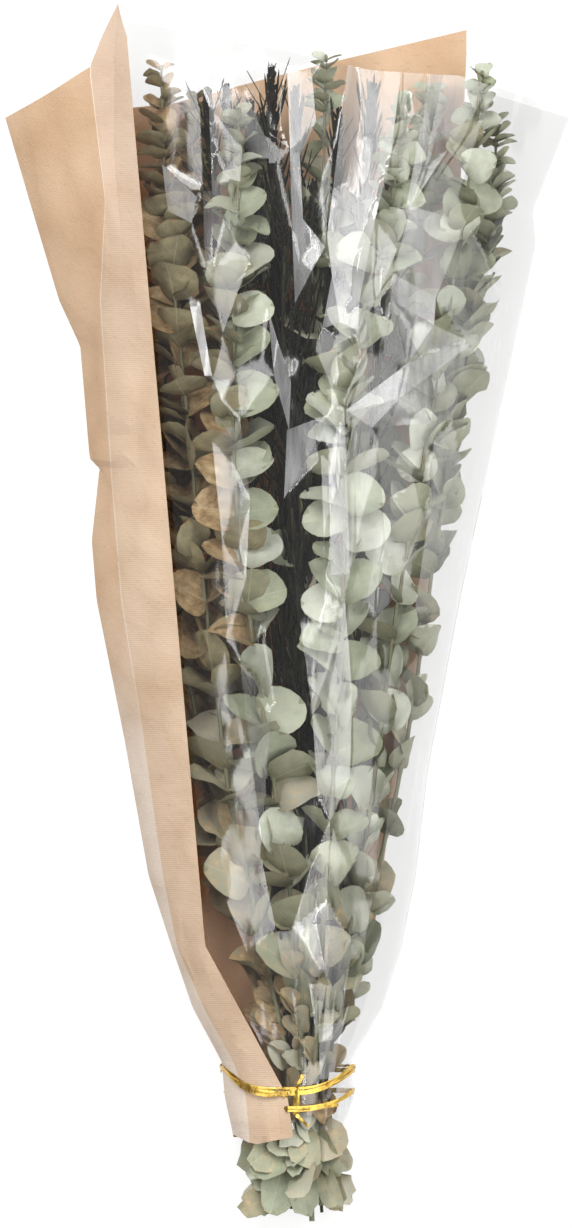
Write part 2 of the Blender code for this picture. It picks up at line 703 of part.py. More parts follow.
def main():
    paper = add_sheet("kraft_paper", paper_section, PAPER_FOOT, PAPER_TOPS, "kraft_paper")
    film = add_sheet("clear_film", film_section, FILM_FOOT, FILM_TOPS, "clear_film")
    add_tie()
    room = Room()
    graph = bpy.context.evaluated_depsgraph_get()
    for sheet in (paper, film):
        room.add_mesh(sheet.name, sheet.evaluated_get(graph).to_mesh())

    ways, ends, spikes = first_ways()
    ways = spread_ways(ways, ends, spikes)
    stems = []
    for number in range(1, len(EUCALYPTUS) + 1):
        stems.append(add_stem(number, ways[number - 1], ends[number - 1], room))
    for number in range(1, len(LAVENDER) + 1):
        strand = len(EUCALYPTUS) + number - 1
        add_lavender(number, ways[strand], ends[strand], spikes[strand], room)
    placed = place_leaves(ways, ends, room)
    for number, (stem, points) in enumerate(stems, 1):
        leaves = grow_leaves(number, points, ends[number - 1], room, placed.get(number, []))
        fuse(stem, [blade_object(leaf) for leaf in leaves])
        print(stem.name, len(leaves), "leaves")


clear_scene()
BUNCH = bpy.data.collections.new("dried eucalyptus and lavender bunch")
bpy.context.scene.collection.children.link(BUNCH)
main()
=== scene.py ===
# %% [markdown]
# # A bunch of dried eucalyptus and lavender in a paper and film sleeve
# The bunch lies on its paper back, so the camera looks straight down on it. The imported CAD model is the
# frame: it says where every stem, leaf, flower and fold is. This lesson loads it and then makes each piece
# again with its real detail, in the same place. Lengths in the tables are in millimetres, and Blender's
# own numbers are in metres.

# %% Load the frame
import math
import random

import bmesh
import bpy
import numpy as np
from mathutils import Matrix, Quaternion, Vector
from mathutils.bvhtree import BVHTree
from mathutils.geometry import delaunay_2d_cdt
from mathutils.kdtree import KDTree


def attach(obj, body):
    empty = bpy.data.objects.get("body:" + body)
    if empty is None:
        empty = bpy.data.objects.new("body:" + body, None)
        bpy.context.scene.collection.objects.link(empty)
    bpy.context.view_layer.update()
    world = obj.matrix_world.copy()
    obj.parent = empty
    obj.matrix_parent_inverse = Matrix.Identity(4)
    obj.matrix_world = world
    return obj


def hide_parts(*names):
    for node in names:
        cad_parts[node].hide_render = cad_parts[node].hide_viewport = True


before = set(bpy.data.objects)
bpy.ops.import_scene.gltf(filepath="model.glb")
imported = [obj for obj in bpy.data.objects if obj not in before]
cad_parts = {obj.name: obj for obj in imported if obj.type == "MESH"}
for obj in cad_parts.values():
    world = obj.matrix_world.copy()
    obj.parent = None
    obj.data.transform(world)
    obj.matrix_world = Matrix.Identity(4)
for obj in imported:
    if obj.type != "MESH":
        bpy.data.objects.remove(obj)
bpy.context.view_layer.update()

# %% [markdown]
# ## Small helpers
# Some things are needed all the time: an sRGB colour as Blender's linear numbers, one node added to a
# material with its settings and links, and a value read from a line of points. The named settings are those
# that many nodes share. An operator acts on all that is selected, so each modelling step starts by
# selecting only its own object.

# %% Colours, nodes, lines and selection
def linear(code):
    """An sRGB hex colour as linear red, green, blue and 1."""
    parts = [int(code[i:i + 2], 16) / 255 for i in (0, 2, 4)]
    return (*(p / 12.92 if p <= 0.04045 else ((p + 0.055) / 1.055) ** 2.4 for p in parts), 1.0)


ADD, MULTIPLY, MULTIPLY_ADD = ({"operation": name} for name in ("ADD", "MULTIPLY", "MULTIPLY_ADD"))
SMOOTH = {"interpolation_type": "SMOOTHSTEP"}
MIX, DARKEN = ({"data_type": "RGBA", "blend_type": name} for name in ("MIX", "MULTIPLY"))


def set_inputs(tree, node, **links):
    """Sets inputs by name, with _ for a space, or by number as n0. A node gives its first output in use."""
    for key, value in links.items():
        socket = node.inputs[int(key[1:])] if key[1:].isdigit() else node.inputs[key.replace("_", " ")]
        if isinstance(value, bpy.types.Node):
            value = next(output for output in value.outputs if output.enabled)
        if isinstance(value, bpy.types.NodeSocket):
            tree.links.new(value, socket)
        else:
            socket.default_value = value
    return node


def add_node(tree, kind, settings=None, **links):
    """Adds a node with its settings and links. The setting stops lists a colour ramp's places and colours."""
    node = tree.nodes.new("ShaderNode" + kind)
    for key, value in (settings or {}).items():
        if key != "stops":
            setattr(node, key, value)
            continue
        steps = node.color_ramp.elements
        while len(steps) < len(value):
            steps.new(0.5)
        for step, (share, code) in zip(steps, value):
            step.position, step.color = share, linear(code)
    return set_inputs(tree, node, **links)


def at(line, y):
    """Reads a line of (value, y) points at y. Past its ends it keeps its end values."""
    values, heights = zip(*line)
    return float(np.interp(y, heights, values))


def only(thing):
    """Makes this the one selected and active object."""
    bpy.ops.object.select_all(action="DESELECT")
    thing.select_set(True)
    bpy.context.view_layer.objects.active = thing
    return thing


print("middle grey is", [round(part, 3) for part in linear("808080")])

# %% [markdown]
# ## Camera, floor and light
# The photograph is a flat view from straight above with no vanishing lines, so the camera is orthographic.
# One picture height is 1228 pixels of 0.57 mm. The floor is a white table lit from below, as in a product
# studio, so that hardly a shadow falls on it. Long lights hang along the bunch, and the film mirrors them
# in long streaks wherever a fold or a flat panel leans towards one: a slim strip on the left, a wide box
# with a bright tube beside it on the right, and a low box further out there, which veils the film's
# falling side. A large light beyond the mouth models the leaves, and the room itself is dim, so that the
# gaps between them stay dark.

# %% Camera, floor and light
PIXEL = 0.57
PICTURE = (572, 1228)
MM = 0.001


def spot(px, py):
    """A pixel of the picture as x and y in millimetres on the table."""
    return (px - PICTURE[0] / 2 - 1.5) * PIXEL, (PICTURE[1] / 2 - 1.5 - py) * PIXEL


middle_x, middle_y = spot(PICTURE[0] / 2, PICTURE[1] / 2)
bpy.ops.object.camera_add(location=(middle_x * MM, middle_y * MM, 2), rotation=(0, 0, 0))
camera = bpy.context.object
camera.data.type = "ORTHO"
camera.data.ortho_scale = PICTURE[1] * PIXEL * MM
bpy.context.scene.camera = camera

bpy.ops.mesh.primitive_plane_add(size=8, location=(0, 0, -0.0005))
floor = bpy.context.object
floor.name = "studio_floor"

# Each light: its name, its place, its width and length in metres, and its watts.
LIGHTS = (
    ("left_strip", (-0.62, 0.1, 1.25), (0.26, 1.9), 6.5),
    ("right_box", (0.7, 0.1, 1.2), (0.42, 1.9), 8.0),
    ("right_tube", (0.44, 0.1, 1.32), (0.05, 1.9), 3.4),
    ("low_box", (1.3, 0.2, 0.72), (0.5, 1.6), 6.0),
    ("key_softbox", (-0.5, 0.9, 1.25), (1.0, 0.8), 14.5),
)
for name, place, size, energy in LIGHTS:
    bpy.ops.object.light_add(type="AREA", location=place)
    lamp = bpy.context.object
    lamp.name = name
    lamp.data.shape = "RECTANGLE"
    lamp.data.size, lamp.data.size_y = size
    lamp.data.energy = energy
    lamp.rotation_euler = (0, math.atan2(place[0], place[2]), 0)
    if name == "key_softbox":
        lamp.rotation_euler = (-Vector(place)).to_track_quat("-Z", "Y").to_euler()

world = bpy.data.worlds.new("studio room")
world.use_nodes = True
world.node_tree.nodes["Background"].inputs["Color"].default_value = (1, 1, 1, 1)
world.node_tree.nodes["Background"].inputs["Strength"].default_value = 0.26
bpy.context.scene.world = world
bpy.context.scene.view_settings.view_transform = "Standard"
print("camera sees", round(camera.data.ortho_scale, 4), "m from top to bottom, with", len(LIGHTS), "lights")

# %% [markdown]
# ## The sleeve's lines
# The sleeve is a flat cone of two sheets. These lines say where its folds and edges run from the neck to
# the mouth, as (value, y) points, and they are the CAD's own, so that the fine sheets lie where the
# coarse ones do.

# %% Lines of the sleeve
LEFT_FOLD = (
    (-31, -297), (-35.6, -276), (-37.3, -256), (-54, -225), (-66, -190), (-79, -150),
    (-92.6, -73), (-108.6, 7), (-111.4, 41), (-107, 82), (-112.6, 88), (-118, 152),
    (-130, 178), (-147, 235), (-160.7, 282),
)
RIGHT_FOLD = (
    (30, -297), (38, -276), (36, -256), (54, -225), (65, -190), (73, -150), (80, -90),
    (98.3, 7), (141.6, 210), (140, 229), (160.7, 282),
)
CREST = (
    (30, -297), (32, -276), (34, -256), (42, -225), (57, -150), (68, -73), (76, 7), (82, 110),
    (86, 230), (83, 345),
)
FULLNESS = ((0.5, -256), (0.62, -150), (0.72, 0), (0.85, 282))
BACK_LIFT = ((2.6, -256), (0, -225))
FLAP_EDGE = ((3, -297), (0, -276), (-47, -190), (-91.5, 326))
FLAP_LAP = ((13, 262), (5.2, 345))
FLAP_CREASE = (
    (-22, -297), (-24, -276), (-31, -256), (-48, -225), (-63, -190), (-71, -150), (-84, -60),
    (-95, 7), (-101, 82), (-107, 178), (-104, 235), (-112.6, 306),
)
CREASE_RISE = ((0, 88), (5, 262))
PAPER_EDGE = (
    (12, -297), (14, -276), (34, -225), (48, -190), (60, -107), (81, 7), (95.5, 178), (102, 318),
)
PAPER_TOPS = (328, 347, 311, 296, 282, 282, 282, 290, 312, 332)
FILM_TOPS = (338, 337, 329, 320, 309, 306, 294, 282, 282, 291, 300, 300)
PAPER_FOOT, FILM_FOOT = -299, -295
SQUARENESS, EDGE_RISE, FILM_DROP, FILM_LAP = 2.2, 6.0, 1.9, 14
SHEET_THICKNESS, SHEET_GAP, FOLD_INSET = 0.6, 0.3, 0.4


def top_z(x, y):
    """Middle of the front sheet: low at the two folds, highest between them."""
    left, right = at(LEFT_FOLD, y), at(RIGHT_FOLD, y)
    share = min(1.0, abs(2 * (x - left) / (right - left) - 1))
    bulge = (1 - share**SQUARENESS) ** at(FULLNESS, y)
    return at(BACK_LIFT, y) + EDGE_RISE + (at(CREST, y) - EDGE_RISE) * bulge


def sheet_z(x, y):
    """The front sheet's own height: its folds' corners don't run on across it as steps."""
    left, right = at(LEFT_FOLD, y), at(RIGHT_FOLD, y)
    near = [y + step for step in (-30, -20, -10, 0, 10, 20, 30)]
    wide_left, wide_right = (sum(at(fold, h) for h in near) / len(near) for fold in (LEFT_FOLD, RIGHT_FOLD))
    share = min(1.0, abs(2 * (x - wide_left) / (wide_right - wide_left) - 1))
    bulge = (1 - share**SQUARENESS) ** at(FULLNESS, y)
    smooth = at(BACK_LIFT, y) + EDGE_RISE + (at(CREST, y) - EDGE_RISE) * bulge
    edge = min(1.0, abs(2 * (x - left) / (right - left) - 1)) ** 8
    return smooth + (top_z(x, y) - smooth) * edge


print("sleeve depth near its mouth and at its neck:", [round(top_z(0, y), 1) for y in (230, -256)], "mm")

# %% [markdown]
# ## Where the stems run
# Ten eucalyptus stems and sixteen lavender stalks stand in a small grid at the tied neck and fan out above
# it. The CAD spreads them until each has its own room. The same sums are done again here, because every
# leaf is then found from its stem.

# %% Ways of the stems
STATIONS = (-347, -316, -290, -268, -246, -206, -158, -108, -56, 0, 56, 108, 158, 210, 262, 318)
NECK_Y, NECK_X, NECK_FLOOR = -268, 8, 6.4
CELL_WIDTH, CELL_HEIGHT, CUT_SPREAD = 3.5, 3.35, 1.7
STEM_BASE_RADIUS, STEM_TIP_RADIUS, STALK_RADIUS = 1.8, 0.8, 0.95
STRAND_GAP, STRAND_STEP, RELAX_ROUNDS, RELAX_STRENGTH = 0.8, 6, 160, 1.3
SPIKE_LENGTH, SPIKE_RADIUS, SPIKE_LEAN = 52, 4.6, 0.9

# Each eucalyptus stem: its cell at the neck, its cut end, how far apart its CAD leaf pairs are, and its way
# as (x, y, share of the inner height).
EUCALYPTUS = (
    ((3, 3), -325, 1.0, (
        (-27, 288, 0.7), (-30, 178, 0.72), (-31.6, 75, 0.72),
        (-20, -16, 0.7), (-5.4, -113, 0.66), (7, -198, 0.6),
    )),
    ((5, 3), -338, 1.0, (
        (70, 292, 0.7), (50, 184, 0.72), (33, 144, 0.72),
        (33, 30, 0.72), (27, -84, 0.68), (20, -180, 0.6),
    )),
    ((6, 2), -332, 1.0, (
        (112, 309, 0.6), (98, 207, 0.64), (75.5, 75, 0.66),
        (61, -4, 0.64), (50, -95, 0.6), (33, -198, 0.52),
    )),
    ((1, 3), -318, 1.15, (
        (-72, 312, 0.42), (-70, 235, 0.5), (-58, 121, 0.56),
        (-47, 7, 0.56), (-33, -107, 0.56), (-8, -215, 0.52),
    )),
    ((4, 2), -347, 1.5, (
        (22, 318, 0.45), (20, 220, 0.46), (10, 110, 0.44),
        (4, 0, 0.42), (10, -110, 0.4), (12, -200, 0.4),
    )),
    ((6, 0), -329, 1.6, (
        (121, 282, 0.36), (112, 200, 0.36), (96, 110, 0.36),
        (82, 20, 0.36), (68, -80, 0.34), (40, -195, 0.3),
    )),
    ((0, 2), -341, 1.8, (
        (-50, 296, 0.24), (-62, 200, 0.26), (-72, 110, 0.3),
        (-66, 10, 0.32), (-42, -110, 0.32), (-12, -205, 0.34),
    )),
    ((2, 0), -335, 2.6, (
        (-14, 282, 0.2), (-26, 190, 0.2), (-34, 90, 0.2),
        (-30, -10, 0.2), (-16, -120, 0.22), (0, -210, 0.24),
    )),
    ((4, 0), -344, 2.6, (
        (84, 300, 0.24), (70, 210, 0.22), (58, 110, 0.2),
        (50, 10, 0.2), (40, -100, 0.2), (20, -205, 0.22),
    )),
    ((3, 1), -322, 2.6, (
        (40, 238, 0.26), (30, 150, 0.22), (18, 50, 0.2),
        (10, -50, 0.2), (10, -150, 0.22), (9, -215, 0.26),
    )),
)

# Each lavender stalk: its cell at the neck, its cut end, and its spike's tip (x, y, share of the height).
LAVENDER = (
    ((0, 3), -330, (-47, 298, 0.5)), ((2, 3), -322, (-9, 313, 0.52)),
    ((4, 3), -334, (4, 300, 0.6)), ((6, 3), -326, (50, 302, 0.5)),
    ((1, 2), -338, (-36, 301, 0.34)), ((3, 2), -330, (-2, 262, 0.6)),
    ((5, 2), -342, (30, 288, 0.46)), ((7, 2), -325, (62, 262, 0.46)),
    ((0, 1), -322, (-22, 292, 0.44)), ((2, 1), -340, (-6, 214, 0.52)),
    ((4, 1), -336, (14, 246, 0.56)), ((6, 1), -324, (20, 196, 0.54)),
    ((1, 0), -334, (-10, 158, 0.5)), ((3, 0), -328, (5, 184, 0.56)),
    ((5, 0), -338, (13, 142, 0.54)), ((7, 0), -331, (3, 112, 0.56)),
)


def cell_place(cell, spread=1.0):
    """Centre (x, z) of a cell of the strands' grid at the neck."""
    column, row = cell
    return NECK_X + (column - 3) * CELL_WIDTH * spread, NECK_FLOOR + row * CELL_HEIGHT


def inner_z(x, y, share):
    """Height between the back and the front sheet, as a share."""
    low = at(BACK_LIFT, y) + 1.5 * SHEET_THICKNESS
    return low + share * (top_z(x, y) - FILM_DROP - low)


def way_at_stations(cell, way):
    """Reads a way of (x, z, y) points, which ends in its cell at the neck, at each station."""
    neck_x, neck_z = cell_place(cell)
    cut_x, cut_z = cell_place(cell, CUT_SPREAD)
    points = [(cut_x, cut_z, STATIONS[0]), (neck_x, neck_z, NECK_Y), *sorted(way, key=lambda p: p[2])]
    xs, zs, ys = zip(*points)
    return [(np.interp(y, ys, xs), np.interp(y, ys, zs)) for y in STATIONS]


def first_ways():
    """Each strand's (x, z) at every station before they are spread, with its ends and its spike's in y."""
    ways, ends, spikes = [], [], []
    for cell, cut, _, way in EUCALYPTUS:
        ends.append((cut, way[0][1]))
        spikes.append(None)
        ways.append(way_at_stations(cell, [(x, inner_z(x, y, share), y) for x, y, share in way]))
    for cell, cut, (x, y, share) in LAVENDER:
        ends.append((cut, y))
        spikes.append((y - SPIKE_LENGTH, y))
        foot = y - SPIKE_LENGTH
        low_x = x * SPIKE_LEAN
        spike = [(x, inner_z(x, y, share), y), (low_x, inner_z(low_x, foot, share), foot)]
        ways.append(way_at_stations(cell, spike))
    return np.array(ways), ends, spikes


def stem_radius(y, cut, tip):
    share = (y - cut) / (tip - cut)
    return STEM_BASE_RADIUS + share * (STEM_TIP_RADIUS - STEM_BASE_RADIUS)


def keep_inside(ways, room, heights):
    """Holds every strand between the back and the front sheet."""
    for strand, way in enumerate(ways):
        for station, y in enumerate(STATIONS):
            reach = np.interp(y, heights, room[strand])
            low = at(BACK_LIFT, y) + 3 * SHEET_THICKNESS + reach
            high = top_z(way[station][0], y) - FILM_DROP - SHEET_THICKNESS - reach
            if y > PAPER_FOOT:
                way[station][1] = min(way[station][1], high)
            way[station][1] = max(way[station][1], low)
    return ways


def spread_ways(ways, ends, spikes):
    """Pushes strands apart at close heights until each has its own room, with the neck held still."""
    heights = np.arange(STATIONS[0], STATIONS[-1] + 1, STRAND_STEP, dtype=float)
    weights = np.array([[np.interp(y, STATIONS, row) for row in np.eye(len(STATIONS))] for y in heights])
    room = np.zeros((len(ways), len(heights)))
    for strand, ((cut, tip), spike) in enumerate(zip(ends, spikes)):
        for step, y in enumerate(heights):
            if spike and spike[0] - STRAND_STEP < y < spike[1] + STRAND_STEP:
                room[strand, step] = SPIKE_RADIUS + STRAND_GAP
            elif cut - STRAND_STEP < y < tip + STRAND_STEP:
                radius = STALK_RADIUS if spike else stem_radius(y, cut, tip)
                room[strand, step] = radius + STRAND_GAP / 2
    present = room > 0
    both = present[:, None] & present[None]
    needed = room[:, None] + room[None]
    free = np.array([abs(y - NECK_Y) > 1 for y in STATIONS], float)
    total = weights.sum(0)
    for _ in range(RELAX_ROUNDS):
        fine = np.einsum("hs,nsk->nhk", weights, ways)
        apart = fine[:, None] - fine[None]
        distance = np.sqrt((apart**2).sum(-1)) + 1e-6
        push = np.where(both & (distance < needed), (needed - distance) / 2, 0.0)
        for strand in range(len(ways)):
            push[strand, strand] = 0
        moved = (apart / distance[..., None] * push[..., None]).sum(1)
        pull = np.einsum("hs,nhk->nsk", weights, moved) / total[None, :, None]
        ways = ways + pull * free[None, :, None] * RELAX_STRENGTH
        ways = keep_inside(ways, room, heights)
    return ways


def way_point(way, y):
    """A strand's middle at y."""
    return Vector((np.interp(y, STATIONS, way[:, 0]), y, np.interp(y, STATIONS, way[:, 1])))


def strand_points(way, low, high):
    """A strand's points from y low to y high: its two ends and each station between."""
    between = [y for y in STATIONS if low + 8 < y < high - 8]
    return [way_point(way, y) for y in (low, *between, high)]


ways, ends, spikes = first_ways()
ways = spread_ways(ways, ends, spikes)
print(len(ways), "strands spread")

# %% [markdown]
# ## Where the leaves are
# A leaf is told by seven things: where it leaves the stem, which way it points, where its face looks, how
# long and wide it is, and how far it curls back and cups. The CAD drew these with a seeded random number
# and kept the leaves that had room. The same draws are made here, and a leaf counts as kept when its outer
# corners are found in the CAD node's mesh. So each detailed leaf lies exactly where its CAD leaf does.

# %% The leaf and its place
LEAF_THICKNESS, LEAF_RIDGE, LEAF_BELLY, LEAF_BASE_TAPER, LEAF_TIP_TAPER = 1.4, 0.27, 1.04, 1.3, 0.15
LEAF_LENGTH, LEAF_GROWTH, CUT_LEAF_SIZE = (9, 26), 105, 0.85
PAIR_SPACING, FIRST_PAIR, LAST_PAIR, PAIR_DRIFT = (8, 23.5), 3, 4, 0.12
ROOT_DEPTH, BARE_NECK, PLACED_ROOM = 0.7, (-291, -246), 11
PLACED_CURL, PLACED_CUP = 0.06, 0.1
LEAF_TRIES, HIDDEN_SPREAD, FLATTENED = 9, 1.2, 0.5
TURN_SPREAD, PITCH_SPREAD = (0.12, 0.1), (9, 4)
PITCH, PITCH_IN_FRONT, PITCH_STEP = 14, 34, 3
CUT_PITCH, CROWDED_Y, CROWDED_PITCH = (24, 58), -190, 18
FACING_SHOWN, FACING_HIDDEN, FACING_BETWEEN = (0.25, 0.95), (0.1, 0.8), (0.0, 0.5)
SIZE_RANGE, SIZE_STEP, WIDTH_RANGE = (0.9, 1.08), 0.035, (1.0, 1.2)
CURL_RANGE, CUP_RANGE = (-0.08, 0.2), (0.02, 0.2)

# Leaves that stand out: stem, where it leaves it, the way to its tip, its width and its roll in degrees.
PLACED_LEAVES = (
    (7, -300, (-19, -19, -3), 27, 4), (4, -300, (-19, -15, 12), 24, -10),
    (7, -327, (-16, -13, -2), 18, 0), (3, -305, (14, -13, 6), 15, -10),
    (3, -321, (5, -22, 2), 15, 8), (4, -316.5, (-7, -27, 4), 22, -6),
    (1, -322, (2, -23, 3), 18, 0), (1, -302, (7, -25, 8), 14, 12),
    (2, -298, (12, -27, 9), 14, 10), (1, 57, (-24, 5, 2), 29, 0),
    (1, 57, (23, 4, 2), 29, 4), (1, 122, (25, 6, 3), 25, 0),
    (2, 10, (-17, 20, 3), 27, 6), (2, 10, (20, 16, 3), 27, -4),
    (2, 44, (25, 8, 2), 28, 10),
)


class Leaf:
    """One round blade, in millimetres."""

    def __init__(self, base, along, normal, length, width, curl, cup):
        self.base, self.along, self.normal = base, along, normal
        self.length, self.width, self.curl, self.cup = length, width, curl, cup

    def point(self, out, side, lift):
        """A point of the blade: out runs from 0 at the stem to 1 at the tip, side from -1 to 1."""
        bend = self.cup * side * side * self.width / 2 - self.curl * out * out * self.length
        across = self.normal.cross(self.along)
        flat = self.base + self.along * (out * self.length) + across * (side * self.width / 2)
        return flat + self.normal * (bend + lift)

    def lens(self, grow, start=0.0):
        """The blade as a closed lens with eight corners, for trying it against what is there."""
        rim = []
        for i in range(8):
            x, y = math.cos(i * math.pi / 4), math.sin(i * math.pi / 4)
            fullness = LEAF_BELLY - (LEAF_BASE_TAPER if x < 0 else LEAF_TIP_TAPER) * x * x
            larger = 1 + 2 * grow / self.length
            out = max(start, (1 + x * larger) / 2)
            rim.append(self.point(out, y * larger * fullness, 0))
        middle, half = max(LEAF_RIDGE, start + 0.1), LEAF_THICKNESS / 2 + grow
        poles = [self.point(middle, 0, side * half) for side in (1, -1)]
        faces = [(i, (i + 1) % 8, 8) for i in range(8)] + [((i + 1) % 8, i, 9) for i in range(8)]
        return rim + poles, faces


def leaf_choice(rng, stem_point, tangent, radius, angle, length, attempt, faces_up):
    """Draws one way in which a leaf could stand: first the natural ones, then ones that give way."""
    side = Vector((tangent.y, -tangent.x, 0)).normalized()
    front = side.cross(tangent)
    if front.z < 0:
        front.negate()
    angle += rng.gauss(0, TURN_SPREAD[0] + TURN_SPREAD[1] * attempt)
    outward = side * math.cos(angle) + front * (FLATTENED * math.sin(angle))
    outward.normalize()
    below = stem_point.y < NECK_Y
    pitch = PITCH + PITCH_IN_FRONT * abs(math.sin(angle)) + PITCH_STEP * attempt
    pitch += rng.gauss(0, PITCH_SPREAD[0] + PITCH_SPREAD[1] * attempt)
    if below:
        pitch = -rng.uniform(*CUT_PITCH)
    elif stem_point.y < CROWDED_Y:
        pitch += CROWDED_PITCH
    along = outward * math.cos(math.radians(pitch)) + tangent * math.sin(math.radians(pitch))
    along.normalize()
    growing = -tangent if below else tangent
    grown = growing - along * growing.dot(along)
    up = Vector((0, 0, 1)) - along * along.z
    facing = rng.uniform(*faces_up)
    normal = grown.normalized() * (1 - facing) + up.normalized() * facing
    normal = (normal - along * normal.dot(along)).normalized()
    size = length * rng.uniform(*SIZE_RANGE) * (1 - SIZE_STEP * attempt)
    width = size * rng.uniform(*WIDTH_RANGE)
    curl, cup = rng.uniform(*CURL_RANGE), rng.uniform(*CUP_RANGE)
    return Leaf(stem_point + outward * (radius * ROOT_DEPTH), along, normal, size, width, curl, cup)


def leaf_slots(points, spread):
    """Places for leaf pairs from the tip down: the point, the tangent, and the length of the leaf."""
    lengths = [0.0]
    down = list(reversed(points))
    for first, second in zip(down, down[1:]):
        lengths.append(lengths[-1] + (second - first).length)
    place = FIRST_PAIR
    while place < lengths[-1] - LAST_PAIR:
        index = max(i for i, so_far in enumerate(lengths[:-1]) if so_far <= place)
        share = (place - lengths[index]) / (lengths[index + 1] - lengths[index])
        grown = min(1.0, place / LEAF_GROWTH)
        length = LEAF_LENGTH[0] + grown * (LEAF_LENGTH[1] - LEAF_LENGTH[0])
        tangent = (down[index] - down[index + 1]).normalized()
        yield down[index].lerp(down[index + 1], share), tangent, length
        place += (PAIR_SPACING[0] + grown * (PAIR_SPACING[1] - PAIR_SPACING[0])) * spread


def placed_leaf(way, ends, y, offset, width, roll):
    """A leaf from the stem at y to a tip at the offset, with its face rolled from facing up."""
    point = way_point(way, y)
    along = Vector(offset).normalized()
    outward = Vector((along.x, 0, along.z)).normalized()
    normal = Vector((0, 0, 1)) - along * along.z
    normal.rotate(Quaternion(along, math.radians(roll)))
    base = point + outward * (stem_radius(y, *ends) * ROOT_DEPTH)
    return Leaf(base, along, normal.normalized(), Vector(offset).length, width, PLACED_CURL, PLACED_CUP)


def corner_finder(node):
    """A function that says whether a leaf's outer corners are in this node's mesh."""
    corners = KDTree(len(node.data.vertices))
    for vert in node.data.vertices:
        corners.insert(vert.co / MM, vert.index)
    corners.balance()

    def found(leaf):
        outer = leaf.point(1, 0, 0), leaf.point(0.5, LEAF_BELLY, 0), leaf.point(0.5, -LEAF_BELLY, 0)
        return sum(corners.find(point)[2] < 0.05 for point in outer) >= 2

    return found


def stem_name(number):
    return f"eucalyptus_stem_{number:02d}"


def cad_leaves(number):
    """The leaves that the CAD kept on a stem, with the y of each."""
    way, (cut, tip) = ways[number - 1], ends[number - 1]
    found = corner_finder(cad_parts[stem_name(number)])
    rng = random.Random(number)
    angle = rng.uniform(0, math.pi)
    spread = EUCALYPTUS[number - 1][2]
    listed = [row[1:] for row in PLACED_LEAVES if row[0] == number]
    placed = [(y, placed_leaf(way, (cut, tip), y, *rest)) for y, *rest in listed]
    kept = [(y, leaf) for y, leaf in placed if found(leaf)]
    for point, tangent, length in leaf_slots(strand_points(way, cut, tip), spread):
        angle += math.pi / 2 + rng.gauss(0, PAIR_DRIFT)
        taken = any(abs(point.y - y) < PLACED_ROOM for y, _ in placed)
        if taken or BARE_NECK[0] < point.y < BARE_NECK[1]:
            continue
        if point.y < NECK_Y:
            length *= CUT_LEAF_SIZE
        radius = stem_radius(point.y, cut, tip)
        for half_turn in (0, math.pi):
            for attempt in range(LEAF_TRIES):
                turn = angle + half_turn
                faces_up = FACING_SHOWN if spread < HIDDEN_SPREAD else FACING_HIDDEN
                leaf = leaf_choice(rng, point, tangent, radius, turn, length, attempt, faces_up)
                if found(leaf):
                    kept.append((point.y, leaf))
                    break
    return kept


leaves = {number: cad_leaves(number) for number in range(1, len(EUCALYPTUS) + 1)}
print("leaves found in the CAD:", [len(found) for found in leaves.values()])

# %% [markdown]
# ## More leaves where the real bunch is full
# The solids carry fewer pairs on the stems that others hide, and none under the tie. The real foliage
# closes over nearly everything behind it and is squeezed flat through the neck. More leaves are grown in
# those gaps. Each is tried against every CAD node and every leaf already added, and kept if it has room.

# %% Leaves between the CAD's
CLEARANCE, ROOT_FREE = 0.25, 0.3
NECK_LENGTH, CUT_LENGTH = (15, 24), (22, 34)


def tree_of(node):
    points = [vert.co / MM for vert in node.data.vertices]
    return BVHTree.FromPolygons(points, [tuple(face.vertices) for face in node.data.polygons])


class Room:
    """What is already in the bunch, so that a new leaf can be tried against it."""

    def __init__(self):
        self.trees = {name: tree_of(node) for name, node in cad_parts.items()}
        self.added = []

    def takes(self, leaf, own, beside=""):
        """Whether there is room for a leaf of the node own. It may pass through the node beside."""
        points, faces = leaf.lens(CLEARANCE)
        if min(p.z for p in points) < 2.2 or min(p.y for p in points) < STATIONS[0] + 0.5:
            return False
        shape = BVHTree.FromPolygons(points, faces)
        if any(shape.overlap(tree) for name, tree in self.trees.items() if name not in (own, beside)):
            return False
        tip_half = BVHTree.FromPolygons(*leaf.lens(CLEARANCE, ROOT_FREE))
        if tip_half.overlap(self.trees[own]):
            return False
        middle, size = leaf.point(0.5, 0, 0), leaf.length * 0.66
        near = [tree for centre, reach, tree in self.added if (centre - middle).length < reach + size]
        return not any(tip_half.overlap(tree) for tree in near)

    def add(self, leaf):
        tree = BVHTree.FromPolygons(*leaf.lens(0))
        self.added.append((leaf.point(0.5, 0, 0), leaf.length * 0.66, tree))


def grow_between(number, room, spread, apart, low, seed):
    """Pairs in the gaps between a stem's CAD leaves, that far from them, above y low."""
    rng = random.Random(seed + number)
    way, (cut, tip) = ways[number - 1], ends[number - 1]
    old = [y for y, _ in leaves[number]]
    angle, made = rng.uniform(0, math.pi), []
    for point, tangent, length in leaf_slots(strand_points(way, cut, tip), spread):
        angle += math.pi / 2
        if BARE_NECK[0] < point.y < BARE_NECK[1] or point.y < low:
            continue
        if any(abs(point.y - y) < apart for y in old):
            continue
        radius = stem_radius(point.y, cut, tip)
        for half_turn in (0, math.pi):
            for attempt in range(LEAF_TRIES):
                turn = angle + half_turn
                leaf = leaf_choice(rng, point, tangent, radius, turn, length, attempt, FACING_BETWEEN)
                if room.takes(leaf, stem_name(number)):
                    room.add(leaf)
                    made.append((point.y, leaf))
                    break
    return made


